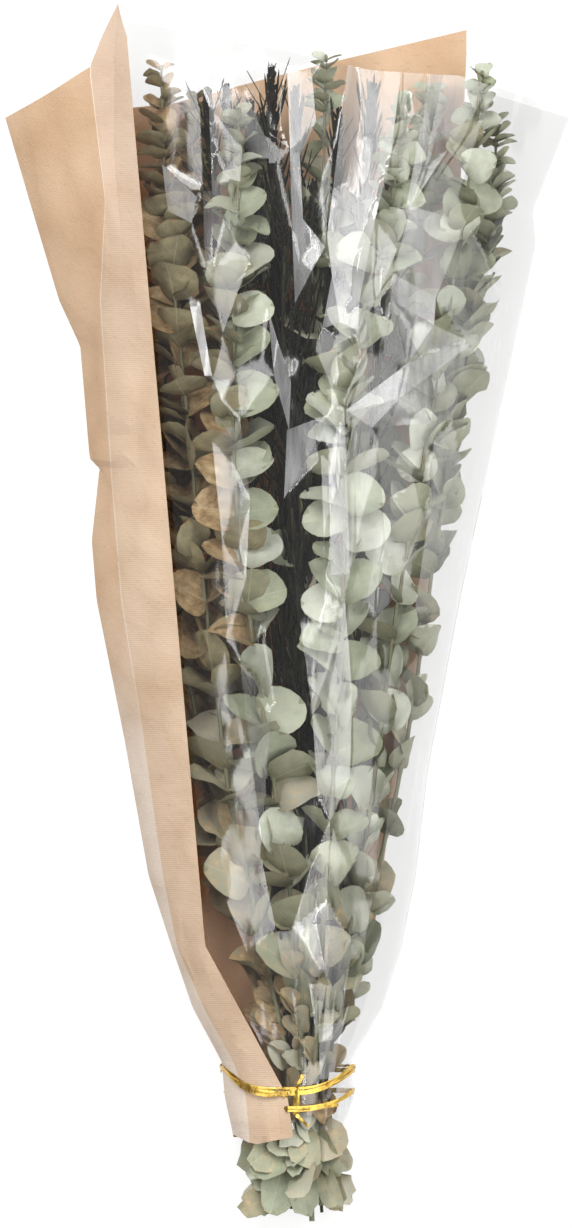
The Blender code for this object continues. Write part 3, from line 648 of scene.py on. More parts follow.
def squeeze_in(number, room, high, low, seed):
    """Leaves pressed along a stem between two heights: round its cut end, or through the tied neck."""
    rng = random.Random(seed + number)
    way, (cut, tip) = ways[number - 1], ends[number - 1]
    made, y = [], high
    while y > max(low, cut + 3):
        point, tangent = way_point(way, y), (way_point(way, y + 4) - way_point(way, y - 4)).normalized()
        growing = tangent if y > -272 else -tangent
        side = Vector((tangent.y, -tangent.x, 0)).normalized()
        for attempt in range(14):
            turn = rng.uniform(0, math.tau)
            outward = (side * math.cos(turn) + Vector((0, 0, 0.6)) * math.sin(turn)).normalized()
            pitch = math.radians(rng.uniform(30, 80))
            along = (outward * math.cos(pitch) + growing * math.sin(pitch)).normalized()
            up = Vector((rng.uniform(-0.5, 0.5), 0, 1))
            normal = (up - along * up.dot(along)).normalized()
            length = rng.uniform(*(CUT_LENGTH if y < -290 else NECK_LENGTH)) * (1 - 0.035 * attempt)
            base = point + outward * (stem_radius(y, cut, tip) * ROOT_DEPTH)
            width = length * rng.uniform(0.62, 1.0)
            leaf = Leaf(base, along, normal, length, width, rng.uniform(0, 0.15), rng.uniform(0.02, 0.2))
            if room.takes(leaf, stem_name(number)):
                room.add(leaf)
                made.append((y, leaf))
                break
        y -= rng.uniform(5, 9)
    return made


room = Room()
between = {number: squeeze_in(number, room, -290.0, -346, 200) for number in leaves}
for number, (cut_end, _) in zip(leaves, ends):
    between[number] += squeeze_in(number, room, -236.0, -290, 250)
    between[number] += grow_between(number, room, 0.8, 6, cut_end, 100)
    between[number] += squeeze_in(number, room, -204.0, -236, 270)
for number in leaves:
    between[number] += grow_between(number, room, 0.6, 2, 40, 600)
# Leaves that reach across the dark lavender in the middle, told as PLACED_LEAVES are.
ACROSS_MIDDLE = (
    (5, 162, (-17, 5, 12), 21, 0), (5, 162, (17, 5, 1), 21, 0), (5, 204, (17, 6, 5), 18, 0),
    (5, 120, (17, 5, 12), 20, 0), (5, 148, (-16, 5, 1), 19, 0), (5, 92, (16, 5, 0), 20, 0),
    (5, 36, (-20, 5, 12), 21, 0), (2, 113, (-23, 5, 4), 23, 0), (2, 50, (-24, -2, 1), 25, 0),
    (2, 8, (-23, 4, 1), 22, 0), (2, -13, (-22, 4, 5), 22, 0), (1, 120, (23, 5, 8), 22, 0),
    (1, 169, (22, 5, 6), 21, 0), (1, 78, (22, 5, 1), 22, 0), (1, 8, (22, 5, 2), 21, 0),
)
for number, y, *rest in ACROSS_MIDDLE:
    for shift in (0, 4, -4, 8, -8, 12, -12):
        leaf = placed_leaf(ways[number - 1], ends[number - 1], y + shift, *rest)
        if room.takes(leaf, stem_name(number)):
            room.add(leaf)
            between[number].append((y + shift, leaf))
            print("across the middle: stem", number, "at", y + shift)
            break
print("leaves added between:", [len(found) for found in between.values()])

# %% [markdown]
# ## One leaf, modelled once
# Dried silver-dollar eucalyptus has round, stiff, waxy blades, a fine pale midrib and a slightly wavy rim.
# Young leaves have no stalk: a pair clasps the stem with broad bases, so the two read as one wide oval.
# A low sphere pressed flat gives a closed blade of 64 faces: its equator is the rim and its rings carry the
# bend. The line from stem to tip is pushed down a little as the midrib. The flat pattern is kept in a UV
# map, so that the midrib and the veins follow every copy however it is bent.

# %% The master leaf
bpy.ops.object.select_all(action="DESELECT")
bpy.ops.mesh.primitive_uv_sphere_add(segments=16, ring_count=4, radius=1, location=(0, 0, 0))
master_leaf = bpy.context.object
master_leaf.name = "leaf"
bpy.ops.object.mode_set(mode="EDIT")
bpy.ops.mesh.select_all(action="SELECT")
bpy.ops.transform.resize(value=(1, 1, 0.014))
bm = bmesh.from_edit_mesh(master_leaf.data)
for vert in bm.verts:
    vert.select = abs(vert.co.y) < 1e-4 and abs(vert.co.x) < 0.99
bm.select_flush_mode()
bmesh.update_edit_mesh(master_leaf.data)
bpy.ops.transform.translate(value=(0, 0, -0.02))
bpy.ops.object.mode_set(mode="OBJECT")
for layer in list(master_leaf.data.uv_layers):
    master_leaf.data.uv_layers.remove(layer)
pattern = master_leaf.data.uv_layers.new(name="blade")
under = master_leaf.data.attributes.new("under", "FLOAT", "FACE")
for face in master_leaf.data.polygons:
    under.data[face.index].value = 1.0 if face.normal.z < 0 else 0.0
    for loop in face.loop_indices:
        place = master_leaf.data.vertices[master_leaf.data.loops[loop].vertex_index].co
        pattern.data[loop].uv = (place.x / 2 + 0.5, place.y / 2 + 0.5)
print("master leaf:", len(master_leaf.data.polygons), "faces")

# %% [markdown]
# ## A stem with its leaves
# A stem is a tapering tube with a slight swelling at each pair of leaves. Each leaf is a copy of the master
# with its own mesh, bent to its own place. Its browning and tone are kept as attributes for the material:
# the browning is partly real drying and partly painted shade, strongest on the leaves behind the paper's
# edge on the left, which lie in its shade, and on those deep in the bunch. The others stay grey-green.

# %% Stems and foliage
BASE_BEHIND, WAVE, TORN_BELOW = 0.1, (0.02, 0.06), -288
ROLLS, FILM_ROOM = (42, 30, 18, 8), 1.2
flat = np.array([vert.co for vert in master_leaf.data.vertices])
radial, turned = np.hypot(flat[:, 0], flat[:, 1]), np.arctan2(flat[:, 1], flat[:, 0])
# Towards the stem the round outline widens to a squarer one, so that the base clasps the stem.
backward = np.clip(-flat[:, 0], 0, 1)
clasping = (1 - backward**3) ** (1 / 3) / np.sqrt(np.maximum(1e-6, 1 - backward**2))
towards_stem = LEAF_BELLY * np.minimum(clasping, 1.7)
towards_tip = LEAF_BELLY - LEAF_TIP_TAPER * flat[:, 0] ** 2
fullness = np.where(flat[:, 0] < 0, towards_stem, towards_tip)
RIM_PLACES = ((0.3, 0.9), (0.6, 1), (0.3, -0.9), (0.6, -1), (1, 0))


def rolled(leaf, rng):
    """The leaf rolled about its middle line to face up the stem, as far as it stays inside the sleeve."""
    if leaf.base.y < TORN_BELOW:
        return leaf
    to_growth = math.copysign(1, leaf.along.cross(leaf.normal).y)
    share = rng.uniform(0.35, 1.1)
    for degrees in ROLLS:
        normal = leaf.normal.copy()
        normal.rotate(Quaternion(leaf.along, math.radians(to_growth * degrees * share)))
        tried = Leaf(leaf.base, leaf.along, normal, leaf.length, leaf.width, leaf.curl, leaf.cup)
        rim = [tried.point(out, side, 0) for out, side in RIM_PLACES]
        low = 2.2 + at(BACK_LIFT, leaf.base.y)
        if all(low < p.z < top_z(p.x, p.y) - FILM_DROP - FILM_ROOM for p in rim):
            return tried
    return leaf


def leaf_coordinates(leaf, rng):
    """The master leaf's points in this leaf's place, in metres, with a wave of its own."""
    out, side = (1 + BASE_BEHIND) * (1 + flat[:, 0]) / 2 - BASE_BEHIND, flat[:, 1] * fullness
    if leaf.base.y < TORN_BELOW:
        torn = np.array([rng.uniform(-0.2, 0.05) if r > 0.95 else 0.0 for r in radial])
        out, side = out + torn * (out - 0.3), side * (1 + torn)
    uneven = 1 + rng.uniform(-0.12, 0.12) * np.sign(flat[:, 1])
    notch = 1 + rng.uniform(-0.05, 0.04) * np.cos(rng.choice((3, 4, 5)) * turned + rng.uniform(0, math.tau))
    side = side * uneven * notch
    high, beats = rng.uniform(*WAVE), rng.choice((2, 3, 3, 4))
    wave = high * np.sin(beats * turned + rng.uniform(0, math.tau))
    wave = wave + 0.4 * high * np.sin((beats + 3) * turned + rng.uniform(0, math.tau))
    fold, twist = rng.uniform(-0.04, 0.16), rng.gauss(0, 0.1)
    cup, curl = leaf.cup + rng.uniform(0.0, 0.3), leaf.curl + rng.uniform(-0.12, 0.08)
    bend = cup * side**2 * leaf.width / 2 - curl * out**2 * leaf.length
    crease = fold * np.abs(side) * 0.5 + twist * side * (out - 0.2) + rng.gauss(0, 0.09) * side
    lift = (flat[:, 2] + wave * radial**2 + crease) * leaf.length + bend
    along, normal = np.array(leaf.along), np.array(leaf.normal)
    across = np.cross(normal, along)
    points = np.array(leaf.base) + np.outer(out * leaf.length, along)
    points = points + np.outer(side * leaf.width / 2, across) + np.outer(lift, normal)
    # A leaf that would dip into the table is pressed nearly flat on it instead.
    height = points[:, 2]
    points[:, 2] = np.where(height < 0.8, 0.8 + 0.2 * (height - 0.8), height)
    return points * MM


def dryness_and_shade(point, rng):
    """How far a leaf is yellow-brown, from 0 to 1: drying, and painted shade on the left under the paper's
    edge.
    """
    if point.y < TORN_BELOW:
        return min(1.0, max(0.0, rng.gauss(0.28, 0.16)))
    # The leaves on the left under the paper's edge are browned as painted shade, not by drying.
    left = (at(FLAP_EDGE, point.y) + 50 - point.x) / 30
    height = min(1.0, max(0.0, (point.y + 60) / 120))
    # Leaves deep in the bunch are browned a little more: painted shade.
    depth = 1 - point.z / max(20.0, top_z(point.x, point.y))
    shade = min(1.0, max(0.0, left)) * (0.25 + 0.75 * height)
    lower = 0.22 * min(1.0, max(0.0, (-60 - point.y) / 120))
    return min(1.0, max(0.0, 1.5 * shade + 0.25 * depth + lower + rng.gauss(0.0, 0.14)))


def tube(name, points, radii, sides_level):
    """A mesh tube along the points, with its ends closed. Millimetres in, metres out."""
    curve = bpy.data.curves.new(name, "CURVE")
    curve.dimensions = "3D"
    curve.bevel_depth = MM
    curve.bevel_resolution = sides_level
    curve.use_fill_caps = True
    spline = curve.splines.new("POLY")
    spline.points.add(len(points) - 1)
    for place, point, radius in zip(spline.points, points, radii):
        place.co = (*(Vector(point) * MM), 1)
        place.radius = radius
    drawn = bpy.data.objects.new(name, curve)
    bpy.context.scene.collection.objects.link(drawn)
    only(drawn)
    bpy.ops.object.convert(target="MESH")
    made = bpy.context.object
    bpy.ops.object.mode_set(mode="EDIT")
    bpy.ops.mesh.select_all(action="SELECT")
    bpy.ops.mesh.remove_doubles(threshold=0.00001)
    bpy.ops.mesh.normals_make_consistent(inside=False)
    bpy.ops.object.mode_set(mode="OBJECT")
    return made


def smooth_way(way, low, high, step, nodes=()):
    """A strand's points at close heights, smoothed between its stations, and at each node on it."""
    even = np.linspace(low, high, int((high - low) / step) + 1)
    heights = sorted({*even, *(y for y in nodes if low < y < high)})
    xs, zs = (np.array([np.interp(y, STATIONS, way[:, axis]) for y in heights]) for axis in (0, 1))
    for _ in range(6):
        for values in (xs, zs):
            values[1:-1] = (values[:-2] + 2 * values[1:-1] + values[2:]) / 4
    return [Vector((x, y, z)) for x, y, z in zip(xs, heights, zs)]


def leafy_stem(number):
    """One stem joined with all its leaves."""
    cut, tip = ends[number - 1]
    rng = random.Random(300 + number)
    mine = [(y, rolled(leaf, rng)) for y, leaf in leaves[number] + between[number]]
    knots = sorted({round(y, 1) for y, _ in mine})
    points = smooth_way(ways[number - 1], cut, tip, 6, knots)
    radii = []
    for point in points:
        swelling = 0.35 if any(abs(point.y - y) < 0.2 for y in knots) else 0.0
        radii.append(stem_radius(point.y, cut, tip) * (0.86 + swelling))
    stem = tube(f"eucalyptus_{number:02d}", points, radii, 1)
    stem.data.materials.append(None)
    stem.data.materials.append(None)
    stem.data.polygons.foreach_set("material_index", [1] * len(stem.data.polygons))
    copies = []
    for y, leaf in mine:
        copy = master_leaf.copy()
        copy.data = master_leaf.data.copy()
        copy.data.vertices.foreach_set("co", leaf_coordinates(leaf, rng).ravel())
        middle = leaf.point(0.5, 0, 0)
        for name, value in (("tone", rng.random()), ("dry", dryness_and_shade(middle, rng))):
            layer = copy.data.attributes.new(name, "FLOAT", "POINT")
            layer.data.foreach_set("value", [value] * len(copy.data.vertices))
        bpy.context.scene.collection.objects.link(copy)
        copies.append(copy)
    only(stem)
    for copy in copies:
        copy.select_set(True)
    bpy.ops.object.join()
    only(stem)
    bpy.ops.object.shade_smooth_by_angle(angle=math.radians(50))
    return stem


foliage = [leafy_stem(number) for number in leaves]
bpy.data.objects.remove(master_leaf)
print("foliage faces:", sum(len(piece.data.polygons) for piece in foliage))

# %% [markdown]
# ## Lavender
# A dried lavender spike is a stack of whorls, each a ring of small ribbed buds that lean outwards and up.
# The buds are coloured nearly black: partly their own dark colour, partly painted shade of the bunch's
# deep middle. One bud is modelled once from a stretched sphere with a pinched base and a blunt mouth, and
# copied round the spike's own axis, which is read from its CAD node. Some buds have dropped off, and the
# lowest whorl stands a little apart, as it does on the plant. The stalks stay as the CAD has them: a
# lavender stalk really is four-sided.

# %% Lavender spikes
bpy.ops.object.select_all(action="DESELECT")
bpy.ops.mesh.primitive_uv_sphere_add(segments=6, ring_count=4, radius=1, location=(0, 0, 0))
master_bud = bpy.context.object
bpy.ops.object.mode_set(mode="EDIT")
bm = bmesh.from_edit_mesh(master_bud.data)
for vert in bm.verts:
    vert.select = -0.9 < vert.co.z < -0.5
bm.select_flush_mode()
bmesh.update_edit_mesh(master_bud.data)
bpy.ops.transform.resize(value=(0.7, 0.7, 1))
bm = bmesh.from_edit_mesh(master_bud.data)
for vert in bm.verts:
    vert.select = vert.co.z > 0.5
bm.select_flush_mode()
bmesh.update_edit_mesh(master_bud.data)
bpy.ops.transform.resize(value=(0.85, 0.85, 1))
bpy.ops.object.mode_set(mode="OBJECT")
bud_shape = np.array([vert.co for vert in master_bud.data.vertices])

WHORLS, BUDS, DROPPED = 13, 8, 0.16


def lavender_spike(number):
    """The spike's axis as a thin core, with whorls of buds round it."""
    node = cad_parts[f"lavender_head_{number:02d}"]
    points = sorted((vert.co.copy() for vert in node.data.vertices), key=lambda co: co.y)
    foot, tip = points[0] / MM, points[-1] / MM
    rng = random.Random(400 + number)
    axis = (tip - foot).normalized()
    side = axis.cross(Vector((0, 0, 1))).normalized()
    front = axis.cross(side)
    core_points = [foot.lerp(tip, i / 8) for i in range(9)]
    core = tube(f"lavender_spike_{number:02d}", core_points, [1.1] * 6 + [0.9, 0.6, 0.3], 0)
    copies = []
    for whorl in range(WHORLS):
        share = whorl / (WHORLS - 1)
        middle = foot.lerp(tip, 0.02 + 0.88 * share + (0.03 if whorl else -0.01) + rng.gauss(0, 0.008))
        swell = math.sin(math.pi * (0.14 + 0.72 * share)) ** 0.6
        for i in range(BUDS):
            turn = math.tau * (i + 0.5 * (whorl % 2)) / BUDS + rng.gauss(0, 0.22)
            out = side * math.cos(turn) + front * math.sin(turn)
            length, width = rng.uniform(2.0, 4.0), rng.uniform(0.8, 1.25)
            lean = 0.7 - 0.5 * share + rng.gauss(0, 0.24)
            if rng.random() < DROPPED:
                continue
            way = (axis + out * lean).normalized()
            across = way.cross(out).normalized()
            third = way.cross(across)
            reach = (SPIKE_RADIUS * 0.93 * swell - length * way.dot(out)) * 0.92
            base = middle + out * max(0.4, reach * 0.55) + way * length * 0.5
            frame_of = np.array([across * width, third * width, way * length])
            copy = master_bud.copy()
            copy.data = master_bud.data.copy()
            copy.data.vertices.foreach_set("co", ((bud_shape @ frame_of + np.array(base)) * MM).ravel())
            bpy.context.scene.collection.objects.link(copy)
            copies.append(copy)
    only(core)
    for copy in copies:
        copy.select_set(True)
    bpy.ops.object.join()
    only(core)
    bpy.ops.object.shade_smooth_by_angle(angle=math.radians(60))
    return core


spikes_made = [lavender_spike(number) for number in range(1, len(LAVENDER) + 1)]
bpy.data.objects.remove(master_bud)
print("lavender faces:", sum(len(piece.data.polygons) for piece in spikes_made))

# %% [markdown]
# ## Lavender leaves
# Lavender keeps its narrow leaves low on the stalk, and dried they are thin as wire and slightly bent.
# They are coloured nearly black, and they fill the middle of the bunch with a dark, spiky mass: painted
# shade of its deeply shaded middle. One leaf is a sphere of few faces drawn out from pole to pole, and the
# copies leave the stalks one at a time. Each is tried for room as the round leaves were.

# %% Narrow leaves
bpy.ops.object.select_all(action="DESELECT")
bpy.ops.mesh.primitive_uv_sphere_add(segments=6, ring_count=5, radius=1, location=(0, 0, 0))
master_needle = bpy.context.object
bpy.ops.object.mode_set(mode="EDIT")
bpy.ops.mesh.select_all(action="SELECT")
bpy.ops.transform.resize(value=(1, 0.32, 1))
bpy.ops.object.mode_set(mode="OBJECT")
needle_shape = np.array([vert.co for vert in master_needle.data.vertices])


def needle_choice(rng, way, y):
    """Draws one narrow leaf at y on a stalk."""
    point, ahead = way_point(way, y), way_point(way, y + 6)
    tangent = (ahead - point).normalized()
    turn, lean = rng.uniform(0, math.tau), math.radians(rng.uniform(8, 38))
    side = Vector((tangent.y, -tangent.x, 0)).normalized()
    outward = side * math.cos(turn) + side.cross(tangent) * math.sin(turn)
    along = (tangent * math.cos(lean) + outward * math.sin(lean)).normalized()
    normal = (outward - along * outward.dot(along)).normalized()
    length = rng.uniform(16, 38)
    return Leaf(point + outward * STALK_RADIUS * 0.5, along, normal, length, rng.uniform(1.5, 2.6),
                rng.uniform(-0.12, 0.16), 0.0)


def needle_coordinates(leaf):
    """The drawn-out sphere as this narrow leaf, bent along its length."""
    out = (1 + needle_shape[:, 2]) / 2
    across = np.cross(leaf.normal, leaf.along)
    lift = -leaf.curl * out**2 * leaf.length + needle_shape[:, 1] * leaf.width / 2
    points = np.array(leaf.base) + np.outer(out * leaf.length, leaf.along)
    return (points + np.outer(needle_shape[:, 0] * leaf.width / 2, across) + np.outer(lift, leaf.normal)) * MM


BROWN_BAND = 30


def stalk_leaves(number, room):
    """The narrow leaves of one stalk that have room."""
    rng = random.Random(700 + number)
    index = len(EUCALYPTUS) + number - 1
    low, high = -200, spikes[index][0] + 34
    made, y = [], low
    while y < high:
        for attempt in range(8):
            leaf = needle_choice(rng, ways[index], y)
            top = leaf.point(1, 0, 0)
            clear = top.z < top_z(top.x, top.y) - 4 and top.x > at(FLAP_EDGE, top.y) + BROWN_BAND
            if clear and room.takes(leaf, f"lavender_stalk_{number:02d}", f"lavender_head_{number:02d}"):
                room.add(leaf)
                made.append(leaf)
                break
        y += rng.uniform(4, 8) if y < 80 else rng.uniform(2, 4)
    return made


needle_copies = []
for number in range(1, len(LAVENDER) + 1):
    for leaf in stalk_leaves(number, room):
        copy = master_needle.copy()
        copy.data = master_needle.data.copy()
        copy.data.vertices.foreach_set("co", needle_coordinates(leaf).ravel())
        bpy.context.scene.collection.objects.link(copy)
        needle_copies.append(copy)
bpy.data.objects.remove(master_needle)
needles = only(needle_copies[0])
for copy in needle_copies:
    copy.select_set(True)
bpy.ops.object.join()
needles.name = "lavender_leaves"
only(needles)
bpy.ops.object.shade_smooth_by_angle(angle=math.radians(60))
print("narrow leaves:", len(needle_copies), "with", len(needles.data.polygons), "faces")

# %% [markdown]
# ## Sheets: laid flat, creased, then bent
# Paper and film start as flat sheets, so they are made that way. A grid primitive is laid out flat, with
# the front in its true place and the part behind the fold rolled out beyond it. Each crease is then cut
# into the flat grid with Bisect and marked sharp, and only then is every point bent to its place. A grid
# alone can't hold a slanted crease: its edge would run in steps.
#
# A crumpled sheet is flat between its creases. So its height over the smooth form is given at the creases'
# points only, the space between them is divided into triangles, and each triangle stays nearly flat.

# %% Creases
class Creases:
    """The height of a sheet over its smooth form, from lines of (pixel x, pixel y, rise in mm) points."""

    def __init__(self, lines, smooth, flatness):
        self.smooth, self.flatness = smooth, flatness
        places, rises, edges = [], [], []
        for line in lines:
            for step, (px, py, rise) in enumerate(line):
                places.append(Vector(spot(px, py)))
                rises.append(rise)
                if step:
                    edges.append((len(places) - 2, len(places) - 1))
        points, _, triangles, came_from, _, _ = delaunay_2d_cdt(places, edges, [], 0, 0.01)
        self.ends = [(places[first], places[last]) for first, last in edges]
        self.points = np.array([tuple(point) for point in points])
        self.rises = np.zeros(len(points))
        for i, point in enumerate(points):
            if came_from[i]:
                self.rises[i] = max(rises[old] for old in came_from[i])
            else:
                self.rises[i] = self.crossing(point, edges, rises)
        self.heights = np.array([smooth(x, y) for x, y in self.points])
        self.triangles = [corners for corners in triangles if len(corners) == 3]

    def crossing(self, point, edges, rises):
        """The rise where two creases cross, which is a new point: the middle of the two."""
        found = []
        for (first, last), edge in zip(self.ends, edges):
            share = (point - first).dot(last - first) / max(1e-6, (last - first).length_squared)
            if 0 <= share <= 1 and (first.lerp(last, share) - point).length < 0.1:
                found.append(rises[edge[0]] + share * (rises[edge[1]] - rises[edge[0]]))
        return sum(found) / max(1, len(found))

    def offsets(self, places):
        """The height over the smooth form at each of many (x, y) places."""
        places = np.array(places)
        made = np.zeros(len(places))
        smooth = np.array([self.smooth(x, y) for x, y in places])
        for corners in self.triangles:
            a, b, c = self.points[list(corners)]
            area = (b[0] - a[0]) * (c[1] - a[1]) - (c[0] - a[0]) * (b[1] - a[1])
            if abs(area) < 1e-6:
                continue
            off = places - a
            second = (off[:, 0] * (c[1] - a[1]) - (c[0] - a[0]) * off[:, 1]) / area
            third = ((b[0] - a[0]) * off[:, 1] - off[:, 0] * (b[1] - a[1])) / area
            first = 1 - second - third
            inside = (first > -1e-6) & (second > -1e-6) & (third > -1e-6)
            shares = np.array([first, second, third])[:, inside]
            rise = self.rises[list(corners)] @ shares
            flat_height = self.heights[list(corners)] @ shares
            made[inside] = rise + self.flatness * (flat_height - smooth[inside])
        return made


def press(line_points, half, rise):
    """A narrow ridge along a line: its crest and the two lines at its foot."""
    (px0, py0), (px1, py1) = line_points
    length = math.hypot(px1 - px0, py1 - py0)
    aside = (py1 - py0) / length * half, -(px1 - px0) / length * half
    return [
        [(px0 + s * aside[0], py0 + s * aside[1], height), (px1 + s * aside[0], py1 + s * aside[1], height)]
        for s, height in ((-1, 0.5), (0, rise), (1, 0.5))
    ]


def filler(lines, columns, rows, gap, rise, seed):
    """Single points of random height where the listed creases leave a gap."""
    rng = random.Random(seed)
    known = [(px, py) for line in lines for px, py, _ in line]
    made = []
    for px in range(*columns):
        for py in range(*rows):
            x, y = px + rng.uniform(-9, 9), py + rng.uniform(-22, 22)
            if all(math.hypot(x - a, (y - b) / 2) > gap for a, b in known):
                made.append([(x, y, rng.uniform(0.2, 1) * rise(y))])
    return made


print("a pressed fold is made of", len(press(((0, 0), (0, 10)), 3, 1.8)), "creases side by side")

# %% [markdown]
# ## From a flat sheet to a bent one
# The creases are cut while the sheet is flat, where a straight cut is simple. The bend then moves the cut
# edges with the rest, and a wall of even thickness is added last.

# %% A sheet from a flat grid
def cut_creases(sheet, ends, reach):
    """Cuts the flat sheet along each crease and marks the new edges as sharp."""
    only(sheet)
    bpy.ops.object.mode_set(mode="EDIT")
    bpy.ops.mesh.select_mode(type="EDGE")
    for first, last in ends:
        first, last = first * MM, last * MM
        length = (last - first).length
        if length < 0.0005:
            continue
        along = (last - first) / length
        side = Vector((-along.y, along.x))
        bpy.ops.mesh.select_all(action="DESELECT")
        bm = bmesh.from_edit_mesh(sheet.data)
        for face in bm.faces:
            off = face.calc_center_median().xy - first
            if -reach / 3 < off.dot(along) < length + reach / 3 and abs(off.dot(side)) < reach:
                face.select_set(True)
        bmesh.update_edit_mesh(sheet.data)
        bpy.ops.mesh.bisect(plane_co=(*first, 0), plane_no=(*side, 0))
        bpy.ops.mesh.mark_sharp()
    bpy.ops.object.mode_set(mode="OBJECT")


def creased_sheet(name, columns, rows, lay, bend, ends, thickness):
    """Lays a grid flat by lay(u, v), cuts its creases and bends it. bend takes all the flat places."""
    bpy.ops.object.select_all(action="DESELECT")
    bpy.ops.mesh.primitive_grid_add(x_subdivisions=columns, y_subdivisions=rows, size=1, location=(0, 0, 0))
    sheet = bpy.context.object
    sheet.name = name
    for vert in sheet.data.vertices:
        x, y = lay(vert.co.x + 0.5, vert.co.y + 0.5)
        vert.co = x * MM, y * MM, 0
    cut_creases(sheet, ends, 0.004)
    flat = [(vert.co.x / MM, vert.co.y / MM) for vert in sheet.data.vertices]
    sheet.data.vertices.foreach_set("co", (np.array(bend(flat)) * MM).ravel())
    wall = sheet.modifiers.new("thickness", "SOLIDIFY")
    wall.thickness, wall.offset = thickness * MM, 0
    only(sheet)
    bpy.ops.object.modifier_apply(modifier=wall.name)
    return sheet


def row_height(share, foot, top):
    """A share of the way up a sheet as y: even rows to 262, then rows that run to the uneven top edge."""
    return foot + (262 - foot) * share / 0.88 if share < 0.88 else 262 + (top - 262) * (share - 0.88) / 0.12


def stepped(share, steps):
    """A share of the way across a sheet as a column of its section, with its own number of steps in each."""
    counted = np.cumsum((0, *steps))
    return float(np.interp(share * counted[-1], counted, range(len(counted))))


print("half way across three columns is column", stepped(0.5, (2, 2, 2)))

# %% [markdown]
# ## The kraft sleeve
# One sheet of ribbed kraft paper makes the back, the left fold and the flap in front with its pointed
# corner. Its flap has one long crease, so that the strip beside the film catches more light, and it has
# been handled: it is crushed halfway down, where a hand held it. Paper creases are soft-cornered but
# straight, so they are pressed in as lines of known height.

# %% Kraft sleeve
PAPER_LINES = [
    [(92, 408, 0.2), (108, 412, 2.2), (136, 431, 0.6)], [(108, 412, 2.2), (104, 440, 0.2), (99, 468, 1.8)],
    [(104, 440, 0.2), (122, 452, 1.9), (140, 470, 0.3)], [(122, 452, 1.9), (118, 492, 0.2), (128, 530, 1.6)],
    [(92, 500, 0.3), (108, 515, 1.8), (118, 560, 0.4)], [(128, 530, 1.6), (150, 560, 0.5)],
    [(99, 468, 1.8), (92, 480, 0.2)], [(140, 470, 0.3), (150, 505, 1.4), (160, 560, 0.3)],
    [(98, 560, 1.4), (112, 620, 0.3)], [(100, 380, 1.4), (96, 350, 0.2)], [(118, 345, 0.2), (126, 385, 1.4)],
    [(60, 150, 0.2), (52, 230, 1.2), (78, 300, 0.2)], [(100, 120, 0.3), (106, 200, 1.4), (104, 300, 0.3)],
    [(126, 180, 0.2), (132, 260, 1.0), (140, 340, 0.2)], [(112, 640, 0.3), (124, 700, 1.5), (132, 770, 0.3)],
    [(150, 640, 0.2), (158, 720, 1.1), (166, 800, 0.2)], [(138, 800, 1.4), (150, 870, 0.3)],
    [(176, 840, 0.2), (180, 900, 1.2), (186, 950, 0.2)], [(160, 880, 0.3), (178, 945, 1.5), (198, 985, 0.3)],
    [(196, 940, 0.2), (214, 990, 1.3), (232, 1030, 0.2)], [(205, 1000, 1.3), (226, 1050, 0.3)],
    [(243, 1050, 1.2), (262, 1085, 0.2)], [(232, 1090, 0.2), (238, 1130, 1.4)],
    [(248, 1085, 1.2), (252, 1135, 0.2)], [(262, 1085, 0.2), (266, 1136, 1.2)],
    [(276, 1090, 0.8), (280, 1130, 0.2)],
]
PAPER_STEPS = (3, 16, 9, 9, 3, 4, 9, 9, 9)
PAPER_CRUMPLE = 2.1
# The flap was cut by hand: its foot hangs lower in the middle, by column and millimetres.
FOOT_EDGE = (0, 1.6, 4, 5), (0, -4, 1.5, 0)
PAPER_CORNERS = (0, 60), (0, 560), (60, 1180), (320, 1180), (230, 700), (140, -20)
PAPER_FRAME = [[(*corner, 0.2)] for corner in PAPER_CORNERS]


def paper_columns(y):
    """The x of each column of the CAD's section at y, and the same laid flat, the back rolled out left."""
    left, right = at(LEFT_FOLD, y), at(PAPER_EDGE, y)
    edge, crease = at(FLAP_EDGE, y), at(FLAP_CREASE, y)
    back = [left + share * (right - left) for share in (0.06, 0.36, 0.68, 1)]
    xs = [edge, edge - at(FLAP_LAP, y), crease, (crease + left) / 2, left, left + FOLD_INSET, *back]
    return xs, xs[:5] + [2 * left - x for x in xs[5:]]


def paper_rise(x, y):
    """Smooth height of the flap: the CAD's front, lifted at its long crease."""
    column = float(np.interp(-x, [-v for v in paper_columns(y)[0][:5]], range(5)))
    return sheet_z(x, y) + at(CREASE_RISE, y) * max(0.0, 1 - abs(column - 2))


def paper_point(column, y):
    """The smooth paper at a column (0 the flap's edge, 4 the fold, 9 the back's edge) and y."""
    xs, _ = paper_columns(y)
    x = float(np.interp(column, range(10), xs))
    if column <= 4:
        return x, paper_rise(x, y)
    low = at(BACK_LIFT, y) + SHEET_THICKNESS / 2
    return x, float(np.interp(column, (4, 5, 6), (top_z(xs[4], y), low + 1, low)))


def paper_lay(u, v):
    column = stepped(u, PAPER_STEPS)
    foot = PAPER_FOOT + float(np.interp(column, *FOOT_EDGE))
    y = row_height(v, foot, float(np.interp(column, range(10), PAPER_TOPS)))
    return float(np.interp(column, range(10), paper_columns(y)[1])), y


def paper_bend(flat):
    """The flat sheet's places bent to the sleeve."""
    columns = [float(np.interp(-x, [-v for v in paper_columns(y)[1]], range(10))) for x, y in flat]
    rises = paper_creases.offsets(flat)
    made = []
    for (_, y), column, rise in zip(flat, columns, rises):
        x, z = paper_point(column, y)
        free = min(1.0, max(0.0, (4 - column) * 1.2)) * min(1.0, abs(y - NECK_Y) / 20)
        made.append((x, y, z + PAPER_CRUMPLE * max(-0.2, rise) * free))
    return made


paper_creases = Creases(
    PAPER_LINES + PAPER_FRAME + filler(PAPER_LINES, (20, 300, 30), (20, 1150, 60), 16, lambda py: 0.6, 60),
    paper_rise, 0.0,
)
kraft = creased_sheet("kraft_sleeve", sum(PAPER_STEPS), 170, paper_lay, paper_bend, paper_creases.ends, 0.35)
bpy.ops.object.shade_smooth_by_angle(angle=math.radians(14))
print("kraft sleeve:", len(kraft.data.polygons), "faces")

